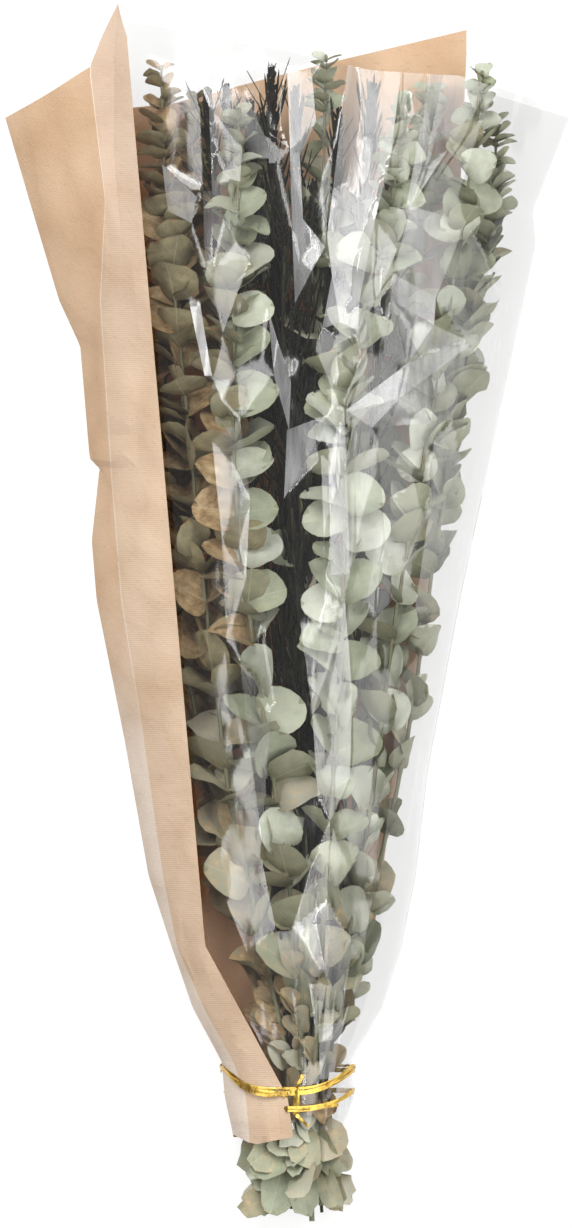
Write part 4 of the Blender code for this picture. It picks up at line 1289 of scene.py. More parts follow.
# %% [markdown]
# ## The film
# The other half of the sleeve is clear film. Film doesn't drape like cloth: it buckles into flat panels
# with sharp, straight edges, pulled from the tie and from wherever it was pinched. The panels that show in
# the real sleeve are listed by their corners, with the height of each in millimetres over the smooth
# front, and smaller ones at random fill the rest. The front's height falls to each side, so a panel that
# spans a stretch of it leans towards one of the strip lights.

# %% Film
NECK_PX = 312
FILM_LINES = [
    [(287, 66, 3.8), (290, 150, 4.0), (292, 230, 3.8), (295, 303, 0.5), (311, 272, 1.6), (325, 247, 0.6),
     (303, 219, 0.8), (300, 156, 1.0), (316, 121, 0.5), (312, 76, 0.6)],
    [(303, 219, 0.8), (299, 262, 2.6), (295, 303, 0.5)], [(331, 62, 0.6), (333, 150, 0.4), (325, 247, 0.6)],
    [(348, 62, 1.6), (333, 188, 1.8), (327, 236, 2.6), (332, 276, 1.8), (322, 329, 2.4), (340, 322, 3.4),
     (358, 331, 1.8), (359, 304, 3.4), (375, 219, 3.6), (391, 156, 3.0), (402, 62, 1.6)],
    [(332, 276, 1.8), (340, 322, 3.4)], [(368, 219, 2.0), (352, 300, 2.0)],
    [(316, 350, 2.8), (339, 343, 0.4), (332, 388, 0.8), (316, 350, 2.8)], [(340, 322, 3.4), (339, 343, 0.4)],
    [(432, 62, 4.0), (420, 130, 3.6), (407, 203, 2.8)], [(446, 62, 1.2), (432, 130, 1.4), (411, 206, 2.0)],
    [(487, 84, 0.8), (452, 144, 2.0), (411, 206, 2.0)], [(485, 112, 3.0), (420, 205, 0.8)],
    [(411, 206, 2.0), (397, 250, 3.2), (376, 300, 1.0), (358, 331, 1.8)],
    [(411, 206, 2.0), (466, 222, 1.2), (436, 297, 2.4), (393, 274, 1.2), (411, 206, 2.0)],
    [(393, 274, 1.2), (391, 300, 3.0), (434, 325, 4.0), (466, 340, 0.8)], [(436, 297, 2.4), (434, 325, 4.0)],
    [(434, 325, 4.0), (407, 364, 1.0), (391, 300, 3.0)], [(466, 340, 0.8), (407, 364, 3.2), (345, 411, 0.8)],
    [(348, 411, 0.8), (400, 398, 3.4), (469, 346, 1.0)], [(400, 398, 3.4), (372, 428, 1.0), (348, 411, 0.8)],
    [(372, 428, 1.0), (452, 420, 2.8), (474, 352, 0.8)], [(200, 108, 0.6), (203, 190, 0.6), (205, 266, 0.8)],
    [(209, 108, 2.4), (212, 190, 2.6), (213, 266, 0.8)],
    [(223, 172, 0.8), (242, 149, 3.0), (240, 182, 1.2), (223, 172, 0.8)],
    [(162, 164, 0.6), (196, 196, 3.2), (192, 223, 1.8), (168, 211, 0.8), (162, 164, 0.6)],
    [(190, 306, 2.2), (197, 340, 2.6), (205, 378, 1.6)], [(200, 303, 1.0), (206, 340, 1.0), (212, 376, 1.2)],
    [(212, 376, 1.2), (222, 402, 3.0), (219, 412, 0.8)], [(223, 219, 0.6), (238, 244, 2.2), (252, 266, 0.8)],
    [(243, 90, 0.6), (262, 130, 2.4), (276, 163, 0.8)], [(250, 258, 2.6), (232, 308, 0.8), (222, 336, 2.6)],
    [(268, 309, 1.0), (279, 345, 3.0), (291, 383, 1.2), (289, 430, 0.8), (274, 376, 2.6), (268, 309, 1.0)],
    [(287, 430, 0.8), (313, 420, 3.4), (316, 442, 2.8), (284, 499, 0.8), (287, 430, 0.8)],
    [(321, 458, 0.8), (323, 515, 0.8), (325, 574, 0.8)], [(328, 458, 2.4), (330, 515, 2.4), (331, 574, 0.8)],
    [(344, 408, 2.6), (347, 470, 2.8), (350, 574, 1.0)], [(352, 408, 0.8), (355, 470, 1.0), (357, 574, 0.8)],
    [(466, 222, 1.2), (505, 300, 3.2), (500, 390, 0.8)], [(505, 150, 0.8), (520, 215, 2.6), (536, 262, 0.4)],
    [(520, 215, 2.6), (505, 300, 3.2)], [(490, 400, 0.8), (468, 500, 2.6), (455, 610, 0.8)],
    [(434, 440, 0.8), (428, 520, 2.8), (415, 610, 0.8)], [(378, 440, 2.2), (385, 540, 0.6), (376, 620, 2.2)],
    [(240, 420, 2.2), (250, 500, 0.8), (246, 580, 2.0)], [(212, 440, 0.8), (222, 540, 2.2), (226, 640, 0.8)],
    [(345, 600, 2.0), (352, 690, 0.6), (350, 780, 1.8)], [(300, 620, 0.6), (312, 710, 2.2), (318, 800, 0.6)],
    [(398, 680, 2.0), (392, 780, 0.6), (380, 880, 1.8)], [(430, 640, 0.6), (420, 740, 2.0), (404, 850, 0.6)],
    [(240, 660, 2.0), (250, 750, 0.6), (262, 840, 1.6)], [(262, 860, 0.6), (276, 930, 1.6), (286, 990, 0.6)],
    [(330, 820, 1.8), (327, 900, 0.6), (324, 970, 1.6)], [(372, 900, 0.6), (362, 960, 1.6), (350, 1010, 0.6)],
    [(290, 930, 1.4), (296, 1000, 0.5), (302, 1060, 1.2)],
    [(318, 980, 0.5), (319, 1030, 1.4), (320, 1080, 0.4)],
    [(350, 960, 1.4), (342, 1020, 0.5), (334, 1075, 1.2)],
    [(226, 900, 0.5), (246, 950, 1.4), (262, 1000, 0.5)],
    [(330, 1090, 0.4), (325, 1128, 1.2)], [(305, 1095, 0.4), (308, 1132, 1.2)],
    [(336, 1080, 0.4), (350, 1080, 1.4), (352, 1108, 0.6), (338, 1122, 1.6), (336, 1080, 0.4)],
]
# The tie pulls fine creases that run up from it like a fan.
FILM_LINES += [
    [
        (NECK_PX + 0.55 * fan, 1078, 0.3), (NECK_PX + fan, 1040, 1.1 + 0.5 * (i % 3)),
        (NECK_PX + 1.5 * fan, 985, 0.4),
    ]
    for i, fan in enumerate(range(-26, 42, 6))
]
FILM_LINES += press(((352, 66), (337, 186)), 3, 1.8) + press(((262, 640), (272, 700)), 3, 1.8)
FILM_FRAME = [[(100, -20, 0.5)], [(620, -20, 0.5)], [(120, 1180, 0.5)], [(460, 1180, 0.5)], [(600, 300, 0.5)]]
FILM_EDGES = (*FLAP_EDGE[1:], *RIGHT_FOLD[1:-1])
FILM_FRAME += [[(288 + x / PIXEL, 612 - y / PIXEL, 0.5)] for x, y in FILM_EDGES]
FILM_STEPS = (4, 20, 22, 22, 23, 17, 12, 4, 6, 6, 4)
FILM_SHARES = (0, 0.17, 0.36, 0.55, 0.75, 0.9, 1)
FILLER_RISE = ((0.4, -276), (0.6, -200), (1.0, -60), (1.4, 100), (1.8, 300))


def film_columns(y):
    """The x of each column of the CAD's section at y, and the same laid flat, the back rolled out right."""
    right, paper, edge = at(RIGHT_FOLD, y), at(PAPER_EDGE, y), at(FLAP_EDGE, y)
    xs = [edge - at(FLAP_LAP, y), *(edge + share * (right - edge) for share in FILM_SHARES)]
    xs += [right - FOLD_INSET, (right + paper) / 2, paper, paper - FILM_LAP]
    return xs, xs[:8] + [2 * right - x for x in xs[8:]]


def film_rise(x, y):
    return sheet_z(x, y) - FILM_DROP


def film_point(column, y):
    """The smooth film at a column (1 the flap's edge above it, 7 the fold, 11 its end) and y."""
    xs, _ = film_columns(y)
    x = float(np.interp(column, range(12), xs))
    if column <= 7:
        return x, film_rise(x, y)
    low = at(BACK_LIFT, y) + 1.5 * SHEET_THICKNESS + SHEET_GAP
    return x, float(np.interp(column, (7, 8, 9), (film_rise(xs[7], y), low + 0.8, low)))


def film_lay(u, v):
    column = stepped(u, FILM_STEPS)
    y = row_height(v, FILM_FOOT, float(np.interp(column, range(12), FILM_TOPS)))
    return float(np.interp(column, range(12), film_columns(y)[1])), y


def film_bend(flat):
    """The flat sheet's places bent to the sleeve, calm beside the flap, the fold and the tie."""
    columns = [float(np.interp(x, film_columns(y)[1], range(12))) for x, y in flat]
    rises = film_creases.offsets(flat)
    made = []
    for (_, y), column, rise in zip(flat, columns, rises):
        x, z = film_point(column, y)
        free = min(1.0, max(0.0, (column - 1) * 2.5)) * min(1.0, max(0.0, (7 - column) * 2))
        made.append((x, y, z + max(-0.3, rise) * free * min(1.0, abs(y - NECK_Y) / 25)))
    return made


film_filler = filler(
    FILM_LINES + FILM_FRAME, (140, 540, 24), (90, 1080, 56), 13,
    lambda py: at(FILLER_RISE, spot(0, py)[1]), 61,
)
film_creases = Creases(FILM_LINES + FILM_FRAME + film_filler, film_rise, 0.7)
film = creased_sheet("film_sleeve", sum(FILM_STEPS), 240, film_lay, film_bend, film_creases.ends, 0.15)
bpy.ops.object.shade_smooth_by_angle(angle=math.radians(25))
print("film:", len(film.data.polygons), "faces,", len(film_creases.triangles), "panels")

# %% [markdown]
# ## Panels of painted sheen
# Where a flat panel of film mirrors a strip light, the leaves behind it show through a pale sheen with sharp
# edges. That sheen is painted: such a panel gets a share of cloudy white and a little more mirror. Each panel
# is told by its corners, which are corners of creases, and by how strong its painted sheen is there. The
# share is kept at each corner of each face, so that it stops at a crease and fades between.

# %% Painted sheen
# Each panel of painted sheen: its corners as (pixel x, pixel y, how strong the painted sheen is there).
SHEEN_PANELS = (
    ((287, 66, 0.8), (290, 150, 0.8), (292, 230, 0.5), (295, 303, 0.4), (311, 272, 0.35), (325, 247, 0.4),
     (303, 219, 0.45), (300, 156, 0.3), (316, 121, 0.35), (312, 76, 0.35)),
    ((348, 62, 0.45), (333, 188, 0.35), (327, 236, 0.35), (332, 276, 0.5), (322, 329, 0.5), (340, 322, 0.8),
     (358, 331, 0.8), (359, 304, 1.0), (375, 219, 0.9), (391, 156, 0.4), (402, 62, 0.2)),
    ((432, 62, 0.9), (420, 130, 0.95), (407, 203, 0.8), (411, 206, 0.5), (432, 130, 0.4), (446, 62, 0.4)),
    ((446, 62, 0.5), (432, 130, 0.4), (411, 206, 0.5), (452, 144, 0.15), (487, 84, 0.1)),
    ((411, 206, 0.55), (466, 222, 0.0), (436, 297, 0.3), (393, 274, 0.2)),
    ((411, 206, 0.4), (397, 250, 0.5), (376, 300, 0.35), (358, 331, 0.4), (359, 304, 0.0), (375, 219, 0.0)),
    ((393, 274, 0.5), (436, 297, 0.5), (434, 325, 0.7), (391, 300, 0.35)),
    ((434, 325, 0.7), (407, 364, 0.25), (391, 300, 0.4)), ((434, 325, 0.5), (466, 340, 0.8), (407, 364, 0.3)),
    ((466, 340, 1.0), (407, 364, 0.7), (345, 411, 0.7), (348, 411, 0.8), (400, 398, 1.0), (469, 346, 0.9)),
    ((348, 411, 0.4), (400, 398, 0.7), (372, 428, 0.3)),
    ((400, 398, 0.6), (469, 346, 0.5), (474, 352, 0.3), (452, 420, 0.35), (372, 428, 0.3)),
    ((162, 164, 0.4), (196, 196, 0.7), (192, 223, 0.6), (168, 211, 0.35)),
    ((190, 306, 1.0), (200, 303, 0.9), (206, 340, 1.0), (212, 376, 0.8), (205, 378, 0.9), (197, 340, 1.0)),
    ((203, 190, 0.12), (205, 266, 0.25), (213, 266, 0.3), (250, 258, 0.2), (238, 244, 0.3), (212, 190, 0.15)),
    ((209, 108, 0.3), (212, 190, 0.25), (213, 266, 0.1), (238, 244, 0.0), (240, 182, 0.0), (243, 90, 0.25)),
    ((243, 90, 0.35), (262, 130, 0.3), (276, 163, 0.5), (242, 149, 0.0)),
    ((268, 309, 0.5), (279, 345, 0.4), (291, 383, 0.5), (289, 430, 0.5), (274, 376, 0.35)),
    ((287, 430, 0.35), (313, 420, 0.5), (316, 442, 0.6), (284, 499, 0.7)),
    ((336, 1080, 0.6), (350, 1080, 1.0), (352, 1108, 0.9), (338, 1122, 1.0)),
    ((328, 458, 0.6), (330, 515, 0.45), (331, 574, 0.35), (350, 574, 0.3), (347, 470, 0.2), (344, 408, 0.1)),
    ((466, 222, 0.15), (505, 300, 0.1), (500, 390, 0.25), (474, 352, 0.4), (436, 297, 0.4)),
    ((434, 440, 0.5), (428, 520, 0.4), (415, 610, 0.2), (455, 610, 0.0), (468, 500, 0.1), (452, 420, 0.4)),
    ((378, 440, 0.35), (385, 540, 0.3), (376, 620, 0.3), (350, 574, 0.0), (355, 470, 0.1)),
    ((240, 420, 0.25), (250, 500, 0.25), (246, 580, 0.3), (222, 540, 0.0), (212, 440, 0.1)),
    ((345, 600, 0.35), (352, 690, 0.3), (350, 780, 0.3), (318, 800, 0.0), (312, 710, 0.1)),
    ((240, 660, 0.3), (250, 750, 0.25), (262, 840, 0.25), (272, 700, 0.0)),
    ((276, 930, 0.15), (290, 930, 0.6), (327, 900, 0.9), (324, 970, 0.3), (296, 1000, 0.0), (286, 990, 0.0)),
    ((327, 900, 0.5), (362, 960, 0.2), (350, 960, 0.3), (342, 1020, 0.2), (324, 970, 0.4)),
    ((319, 1030, 0.5), (320, 1080, 0.6), (334, 1075, 0.5), (342, 1020, 0.4)),
)


def inside_panel(px, py, corners):
    """Whether a pixel lies inside a panel, by counting the sides that pass to one side of it."""
    crossed = False
    for (ax, ay, _), (bx, by, _) in zip(corners, corners[1:] + corners[:1]):
        if (ay > py) != (by > py) and px < ax + (py - ay) / (by - ay) * (bx - ax):
            crossed = not crossed
    return crossed


def sheen_at(px, py, corners):
    """The painted sheen of a panel at a pixel: each corner counts more the nearer it is."""
    near = [1 / ((px - x) ** 2 + (py - y) ** 2 + 4) for x, y, _ in corners]
    return sum(weight * sheen_share for weight, (_, _, sheen_share) in zip(near, corners)) / sum(near)


veil = film.data.attributes.new("veil", "FLOAT", "CORNER")
PANEL_BOXES = [
    tuple(pick(corner[axis] for corner in corners) for axis in (0, 1) for pick in (min, max))
    for corners in SHEEN_PANELS
]
sheen_faces = 0
for face in film.data.polygons:
    x, y, z = face.center / MM
    px, py = x / PIXEL + PICTURE[0] / 2 + 1.5, PICTURE[1] / 2 - 1.5 - y / PIXEL
    if z < at(BACK_LIFT, y) + 4:
        continue
    for corners, (left, right, top, foot) in zip(SHEEN_PANELS, PANEL_BOXES):
        if left < px < right and top < py < foot and inside_panel(px, py, corners):
            sheen_faces += 1
            for loop in face.loop_indices:
                place = film.data.vertices[film.data.loops[loop].vertex_index].co / MM
                at_corner = place.x / PIXEL + PICTURE[0] / 2 + 1.5, PICTURE[1] / 2 - 1.5 - place.y / PIXEL
                veil.data[loop].value = sheen_at(*at_corner, corners)
            break
print("veiled panels:", len(SHEEN_PANELS), "with", sheen_faces, "faces")

# %% [markdown]
# ## The gold tie
# The tie is metallic raffia: flat foil strands about 3 mm wide that twist as they go round, so that each
# flashes in some places and goes dark in others. The first winding holds stems and film together and lies
# under the paper, so only its right half shows. The second holds the paper, and dips across the front
# where it is pulled together. One strand runs down from the second to the first and knots them. Every
# strand is a narrow strip that follows the neck, with its own wander and tilt.

# %% Gold raffia
def bent_strip(name, columns, rows, place, thickness):
    """A strip from a grid: place(u, v) gives a point in millimetres for u and v from 0 to 1."""
    bpy.ops.object.select_all(action="DESELECT")
    bpy.ops.mesh.primitive_grid_add(x_subdivisions=columns, y_subdivisions=rows, size=1, location=(0, 0, 0))
    strip = bpy.context.object
    strip.name = name
    for vert in strip.data.vertices:
        vert.co = Vector(place(vert.co.x + 0.5, vert.co.y + 0.5)) * MM
    wall = strip.modifiers.new("thickness", "SOLIDIFY")
    wall.thickness, wall.offset = thickness * MM, 0
    only(strip)
    bpy.ops.object.modifier_apply(modifier=wall.name)
    return strip


BAND_OUT = SHEET_THICKNESS / 2 + SHEET_GAP + 0.2
BAND_UNDER = -2.6


def neck_outline(y, count):
    """Points of a closed line round the sleeve at y, with the way out of it at each."""
    points = [Vector(paper_point(i / 4, y)) for i in range(37)]
    points += [Vector(film_point(i / 4, y)) for i in range(45)]
    middle = Vector(((min(p.x for p in points) + max(p.x for p in points)) / 2, 15))
    outline = []
    for i in range(count):
        angle = math.tau * i / count - math.pi / 2
        way = Vector((math.cos(angle), math.sin(angle)))
        reach = max((p - middle).dot(way) for p in points)
        outline.append((way, reach))
    corners = []
    for i, (way, reach) in enumerate(outline):
        after, far = outline[(i + 1) % count]
        turn = way.x * after.y - way.y * after.x
        meeting = reach * after.y - far * way.y, far * way.x - reach * after.x
        corners.append(middle + Vector(meeting) / turn)
    return corners


RING_STEPS = 72
ring = neck_outline(-264, RING_STEPS)
ring_reach = max(abs(p.x) for p in ring)


def ring_point(share, out):
    """A point on the ring, that far outside it, with the way out there."""
    place = share * RING_STEPS
    i, part = int(place) % RING_STEPS, place % 1
    point = ring[i].lerp(ring[(i + 1) % RING_STEPS], part)
    around = ring[(i + 2) % RING_STEPS] - ring[i - 1]
    way = Vector((around.y, -around.x)).normalized()
    if way.dot(point - Vector((0, 15))) < 0:
        way.negate()
    return point + way * out, way


def raffia(name, place, length, width, seed, turns):
    """A foil strip: place(v) gives its middle and the way out, and it tilts by turns along its length."""
    rng = random.Random(seed)
    phase, wave = rng.uniform(0, math.tau), rng.uniform(0.5, 1.0)

    def strip(u, v):
        middle, out = place(v)
        ahead, _ = place(min(1.0, v + 0.01)) if v < 0.5 else (middle, None)
        behind, _ = place(max(0.0, v - 0.01)) if v >= 0.5 else (middle, None)
        along = (ahead - behind).normalized()
        across = along.cross(out).normalized()
        tilt = wave * math.sin(turns * math.tau * v + phase) * 0.55
        narrow = 1 - 0.25 * math.sin(turns * 2.3 * v + phase) ** 2
        ridge = 0.3 * (1 - abs(2 * u - 1))
        side = (u - 0.5) * width * narrow
        raised = abs(side) * abs(math.sin(tilt)) * 0.8 + ridge
        point = middle + across * (side * math.cos(tilt)) + out * raised
        return point.x, point.y, max(0.2, point.z)

    return bent_strip(name, 4, max(12, int(length)), strip, 0.12)


def round_neck(y, dip, out, wander, seed, under):
    """A way round the neck at y, which dips by that much across the front, and may run under the paper."""
    rng = random.Random(seed)
    phase, times = rng.uniform(0, math.tau), rng.choice((2, 3, 4))

    def place(v):
        lift = out + 0.25 * math.sin(times * math.tau * v + 1.7 * phase)
        point, way = ring_point(v + 0.02, lift)
        if under:
            edge = at(FLAP_EDGE, y) if point.y > 15 else at(PAPER_EDGE, y)
            hidden = min(1.0, max(0.0, (edge + 1 - point.x) / 2.5))
            point, way = ring_point(v + 0.02, lift + hidden * (BAND_UNDER - lift))
        front = max(0.0, 1 - abs(point.x / ring_reach) ** 3) if point.y > 15 else 0.0
        height = y - dip * front + wander * math.sin(times * math.tau * v + phase)
        return Vector((point.x, height, point.y)), Vector((way.x, 0, way.y))

    return place


strands = []
# Each winding: its y at the sides, its dip, how far out it lies, its wander, its width, and whether it
# runs under the paper.
BANDS = (
    (-259.5, 13.5, 0.1, 0.9, 2.4, False), (-260.6, 14.2, 0.5, 1.0, 2.0, False),
    (-258.4, 13.4, 0.8, 0.9, 1.7, False), (-273.0, 10.5, 0.1, 0.4, 3.0, True),
    (-272.2, 10.8, 0.5, 0.5, 2.2, True),
)
for i, (y, dip, lift, wander, width, under) in enumerate(BANDS):
    way = round_neck(y, dip, BAND_OUT + lift, wander, 500 + i, under)
    strands.append(raffia(f"raffia_{i}", way, 190, width, 520 + i, 5))
print("raffia strands:", len(strands))

# %% [markdown]
# ## The knot
# Two turns bind both windings at the knot, and four short ends leave it and lie on the sleeve.

# %% The knot and the loose ends of the tie
KNOT_X, KNOT_TOP, KNOT_FOOT = 5.0, -271.0, -286.5


def knot_loop(i):
    """A strand wound once round both windings at the knot."""
    def place(v):
        angle = math.tau * v
        middle_y, half = (KNOT_TOP + KNOT_FOOT) / 2, (KNOT_TOP - KNOT_FOOT) / 2
        y = middle_y + half * math.cos(angle)
        low = top_z(KNOT_X, y) - FILM_DROP + BAND_OUT + 0.9
        up = math.copysign(1, math.sin(angle))
        out = Vector((0.2 * math.sin(3 * i), 0.5 * math.cos(angle), up)).normalized()
        return Vector((KNOT_X + (i - 0.5) * 1.1, y, low + 0.5 + 0.5 * math.sin(angle))), out
    return place


LOOSE_ENDS = ((-8, -5.5, KNOT_TOP), (4, 7.5, KNOT_TOP), (24, 3.0, KNOT_FOOT + 3), (7, -6.5, KNOT_FOOT))


def loose_end(i):
    """A short end that leaves the knot and lies on the sleeve."""
    across, down, start = LOOSE_ENDS[i]

    def place(v):
        x, y = KNOT_X + across * v, start + down * v
        arch = 1.3 * math.sin(math.pi * min(1, v * 1.2))
        return Vector((x, y, top_z(x, y) + 0.7 + arch)), Vector((0, 0.1, 1))
    return place


for i in range(2):
    strands.append(raffia(f"knot_{i}", knot_loop(i), 32, 2.6, 540 + i, 1))
for i, (across, down, _) in enumerate(LOOSE_ENDS):
    strands.append(raffia(f"end_{i}", loose_end(i), math.hypot(across, down) + 2, 2.2, 560 + i, 1))
only(strands[0])
for strand in strands:
    strand.select_set(True)
bpy.ops.object.join()
tie = bpy.context.object
tie.name = "gold_raffia_tie"
only(tie)
bpy.ops.object.shade_smooth_by_angle(angle=math.radians(30))
print("tie:", len(tie.data.polygons), "faces")

# %% [markdown]
# ## Leaf finish
# Preserved eucalyptus keeps a waxy bloom over grey-green, which the eye reads as matte and slightly pale.
# Dried leaves turn straw and brown, first at the rim. The flat pattern in the UV map gives the midrib and
# the side veins, the attributes give each leaf its own tone, and noise on Object coordinates gives the
# mottling, whose scale is one over its size in metres.

# %% Leaf material
def new_material(name):
    """A material, its node tree, its shader and the Object coordinates that its patterns are drawn on."""
    made = bpy.data.materials.new(name)
    made.use_nodes = True
    tree = made.node_tree
    return made, tree, tree.nodes["Principled BSDF"], add_node(tree, "TexCoord").outputs["Object"]


def dress(piece, *finishes):
    """Gives a piece these materials and no others."""
    piece.data.materials.clear()
    for finish in finishes:
        piece.data.materials.append(finish)


leaf_wax, tree, shader, place = new_material("waxy dried eucalyptus leaf")
tone, dry, below = (
    add_node(tree, "Attribute", {"attribute_name": name}).outputs["Fac"] for name in ("tone", "dry", "under")
)
blade = add_node(tree, "UVMap", {"uv_map": "blade"}).outputs["UV"]
flat_place = add_node(tree, "SeparateXYZ", Vector=blade)
out, across = flat_place.outputs["X"], flat_place.outputs["Y"]
off_middle = add_node(tree, "Math", {"operation": "SUBTRACT"}, n0=across, n1=0.5)
side = add_node(tree, "Math", {"operation": "ABSOLUTE"}, n0=off_middle)
from_middle = add_node(tree, "VectorMath", {"operation": "DISTANCE"}, n0=blade, n1=(0.5, 0.5, 0))

mottling = add_node(tree, "TexNoise", Vector=place, Scale=1 / 0.006, Detail=4, Roughness=0.6)
fine = add_node(tree, "TexNoise", Vector=place, Scale=1 / 0.0012, Detail=3, Roughness=0.6)
green_stops = (0.0, "a3a98d"), (0.45, "c5cbb2"), (1.0, "e3e6d6")
green = add_node(tree, "ValToRGB", {"stops": green_stops}, Fac=tone)
straw_stops = (0.3, "94744e"), (0.5, "b6976c"), (0.75, "cfb98f")
straw = add_node(tree, "ValToRGB", {"stops": straw_stops}, Fac=mottling)
mottled = add_node(tree, "Math", MULTIPLY_ADD, n0=mottling, n1=0.7, n2=-0.35)
patchy = add_node(tree, "Math", ADD, n0=dry, n1=mottled)
# The straw-brown share is partly real drying and partly painted shade, as the attribute carries both.
dried = add_node(tree, "MapRange", SMOOTH, Value=patchy, From_Min=0.15, From_Max=0.8)
colour = add_node(tree, "Mix", MIX, n0=dried, n6=green, n7=straw)
# The blade's back is coloured darker and more olive: partly its own duller colour, partly painted shade.
underside = add_node(tree, "Math", MULTIPLY, n0=below, n1=0.7)
colour = add_node(tree, "Mix", MIX, n0=underside, n6=colour, n7=linear("9a9878"))
shade = add_node(tree, "ValToRGB", {"stops": ((0.3, "dedede"), (0.7, "ffffff"))}, Fac=mottling)
colour = add_node(tree, "Mix", DARKEN, n0=0.8, n6=colour, n7=shade)
# The base of each blade, where the two blades of a pair meet and shade each other, is darkened: painted
# shade.
painted_base_shade = add_node(tree, "ValToRGB", {"stops": ((0.0, "a9a898"), (0.42, "ffffff"))}, Fac=out)
colour = add_node(tree, "Mix", DARKEN, n0=0.85, n6=colour, n7=painted_base_shade)
print("leaf colour nodes:", len(tree.nodes))

# %% [markdown]
# The rim browns first and unevenly, and small specks sit anywhere. The midrib is pale. The side veins leave
# it forwards: they are lines of a constant mix of the two flat directions, folded into even stripes. They
# are finer on the real leaf than the picture can show, so they are drawn wider.

# %% Leaf rim, specks and veins
rim = add_node(tree, "MapRange", SMOOTH, Value=from_middle.outputs["Value"], From_Min=0.465, From_Max=0.5)
frayed = add_node(tree, "MapRange", SMOOTH, Value=fine, From_Min=0.35, From_Max=0.65)
rim_share = add_node(tree, "Math", MULTIPLY, n0=rim, n1=frayed)
rim_browned = add_node(tree, "Math", MULTIPLY, n0=rim_share, n1=0.55)
colour = add_node(tree, "Mix", MIX, n0=rim_browned, n6=colour, n7=linear("8c7d58"))
spots = add_node(tree, "TexNoise", Vector=place, Scale=1 / 0.0022, Detail=2, Roughness=0.6)
specks = add_node(tree, "MapRange", SMOOTH, Value=spots, From_Min=0.7, From_Max=0.76)
speckled = add_node(tree, "Math", MULTIPLY, n0=specks, n1=0.6)
colour = add_node(tree, "Mix", MIX, n0=speckled, n6=colour, n7=linear("7b6a49"))
midrib = add_node(
    tree, "MapRange", SMOOTH, Value=side, From_Min=0.004, From_Max=0.016, To_Min=0.4, To_Max=0.0
)
colour = add_node(tree, "Mix", MIX, n0=midrib, n6=colour, n7=linear("cccbb0"))
vein_wave = add_node(tree, "Math", MULTIPLY_ADD, n0=side, n1=-1.1, n2=out)
vein_count = add_node(tree, "Math", MULTIPLY, n0=vein_wave, n1=9.0)
vein = add_node(tree, "Math", {"operation": "PINGPONG"}, n0=vein_count, n1=0.5)
vein_line = add_node(tree, "MapRange", SMOOTH, Value=vein, From_Min=0.0, From_Max=0.1, To_Min=1.0, To_Max=0.0)
veined = add_node(tree, "Math", MULTIPLY, n0=vein_line, n1=0.16)
colour = add_node(tree, "Mix", MIX, n0=veined, n6=colour, n7=linear("d0d0ba"))
vein_dip = add_node(tree, "Math", MULTIPLY, n0=vein_line, n1=-0.4)
swollen = add_node(tree, "Math", MULTIPLY, n0=mottling, n1=2.2)
relief = add_node(tree, "Math", ADD, n0=vein_dip, n1=swollen)
pores = add_node(tree, "Math", MULTIPLY, n0=fine, n1=0.5)
relief = add_node(tree, "Math", ADD, n0=relief, n1=pores)
bump = add_node(tree, "Bump", Strength=0.5, Distance=0.0004, Height=relief)
set_inputs(tree, shader, Base_Color=colour, Roughness=0.62, Specular_IOR_Level=0.4, Normal=bump)
print("leaf material nodes:", len(tree.nodes))

# %% [markdown]
# ## Bark and lavender finish
# Bark, stalks and dried calyxes share one make: a fibrous, matte surface whose colour and relief follow the
# same grain, drawn out along the bunch on a stem. Dried lavender calyxes are felted and coloured nearly
# black, partly their own dark colour and partly painted shade, with a hint of violet where the light catches
# the ribs. The narrow lavender leaves are nearly black as painted shade. The stalks are dull brown-green.

# %% Bark and lavender materials
def fibrous(name, size, detail, stretch, stops, strength, depth):
    """A finish with colour and bump from one grain of that size in metres, drawn out along y by stretch."""
    made, tree, shader, place = new_material(name)
    lain = place if stretch == 1 else add_node(tree, "Mapping", Vector=place, Scale=(1, stretch, 1))
    grain = add_node(tree, "TexNoise", Vector=lain, Scale=1 / size, Detail=detail, Roughness=0.6)
    colour = add_node(tree, "ValToRGB", {"stops": stops}, Fac=grain)
    bump = add_node(tree, "Bump", Strength=strength, Distance=depth, Height=grain)
    set_inputs(tree, shader, Base_Color=colour, Normal=bump)
    return made, tree, shader, place, grain, colour


bark_stops = (0.3, "b9af82"), (0.55, "ded6a8"), (0.8, "ece6c6")
bark, tree, shader, place, _, colour = fibrous(
    "dried eucalyptus bark", 0.0014, 4, 0.08, bark_stops, strength=0.6, depth=0.0003
)
patches = add_node(tree, "TexNoise", Vector=place, Scale=1 / 0.02, Detail=2, Roughness=0.6)
patch_share = add_node(
    tree, "MapRange", SMOOTH, Value=patches, From_Min=0.5, From_Max=0.7, To_Min=0, To_Max=0.5
)
colour = add_node(tree, "Mix", MIX, n0=patch_share, n6=colour, n7=linear("a0855c"))
set_inputs(tree, shader, Base_Color=colour, Roughness=0.7)
for piece in foliage:
    dress(piece, leaf_wax, bark)

# Nearly black: partly the calyx's own dark colour, partly painted shade of the bunch's deep middle.
shaded_felt_stops = (0.3, "141311"), (0.55, "232120"), (0.8, "3a383b")
felt, tree, shader, place, _, colour = fibrous(
    "dried lavender calyx", 0.0009, 3, 1, shaded_felt_stops, strength=0.7, depth=0.0004
)
brown = add_node(tree, "TexNoise", Vector=place, Scale=1 / 0.012, Detail=2, Roughness=0.6)
brown_share = add_node(
    tree, "MapRange", SMOOTH, Value=brown, From_Min=0.5, From_Max=0.7, To_Min=0, To_Max=0.6
)
colour = add_node(tree, "Mix", MIX, n0=brown_share, n6=colour, n7=linear("3b3327"))
set_inputs(tree, shader, Base_Color=colour, Roughness=0.9, Specular_IOR_Level=0.2)
for piece in spikes_made:
    dress(piece, felt)

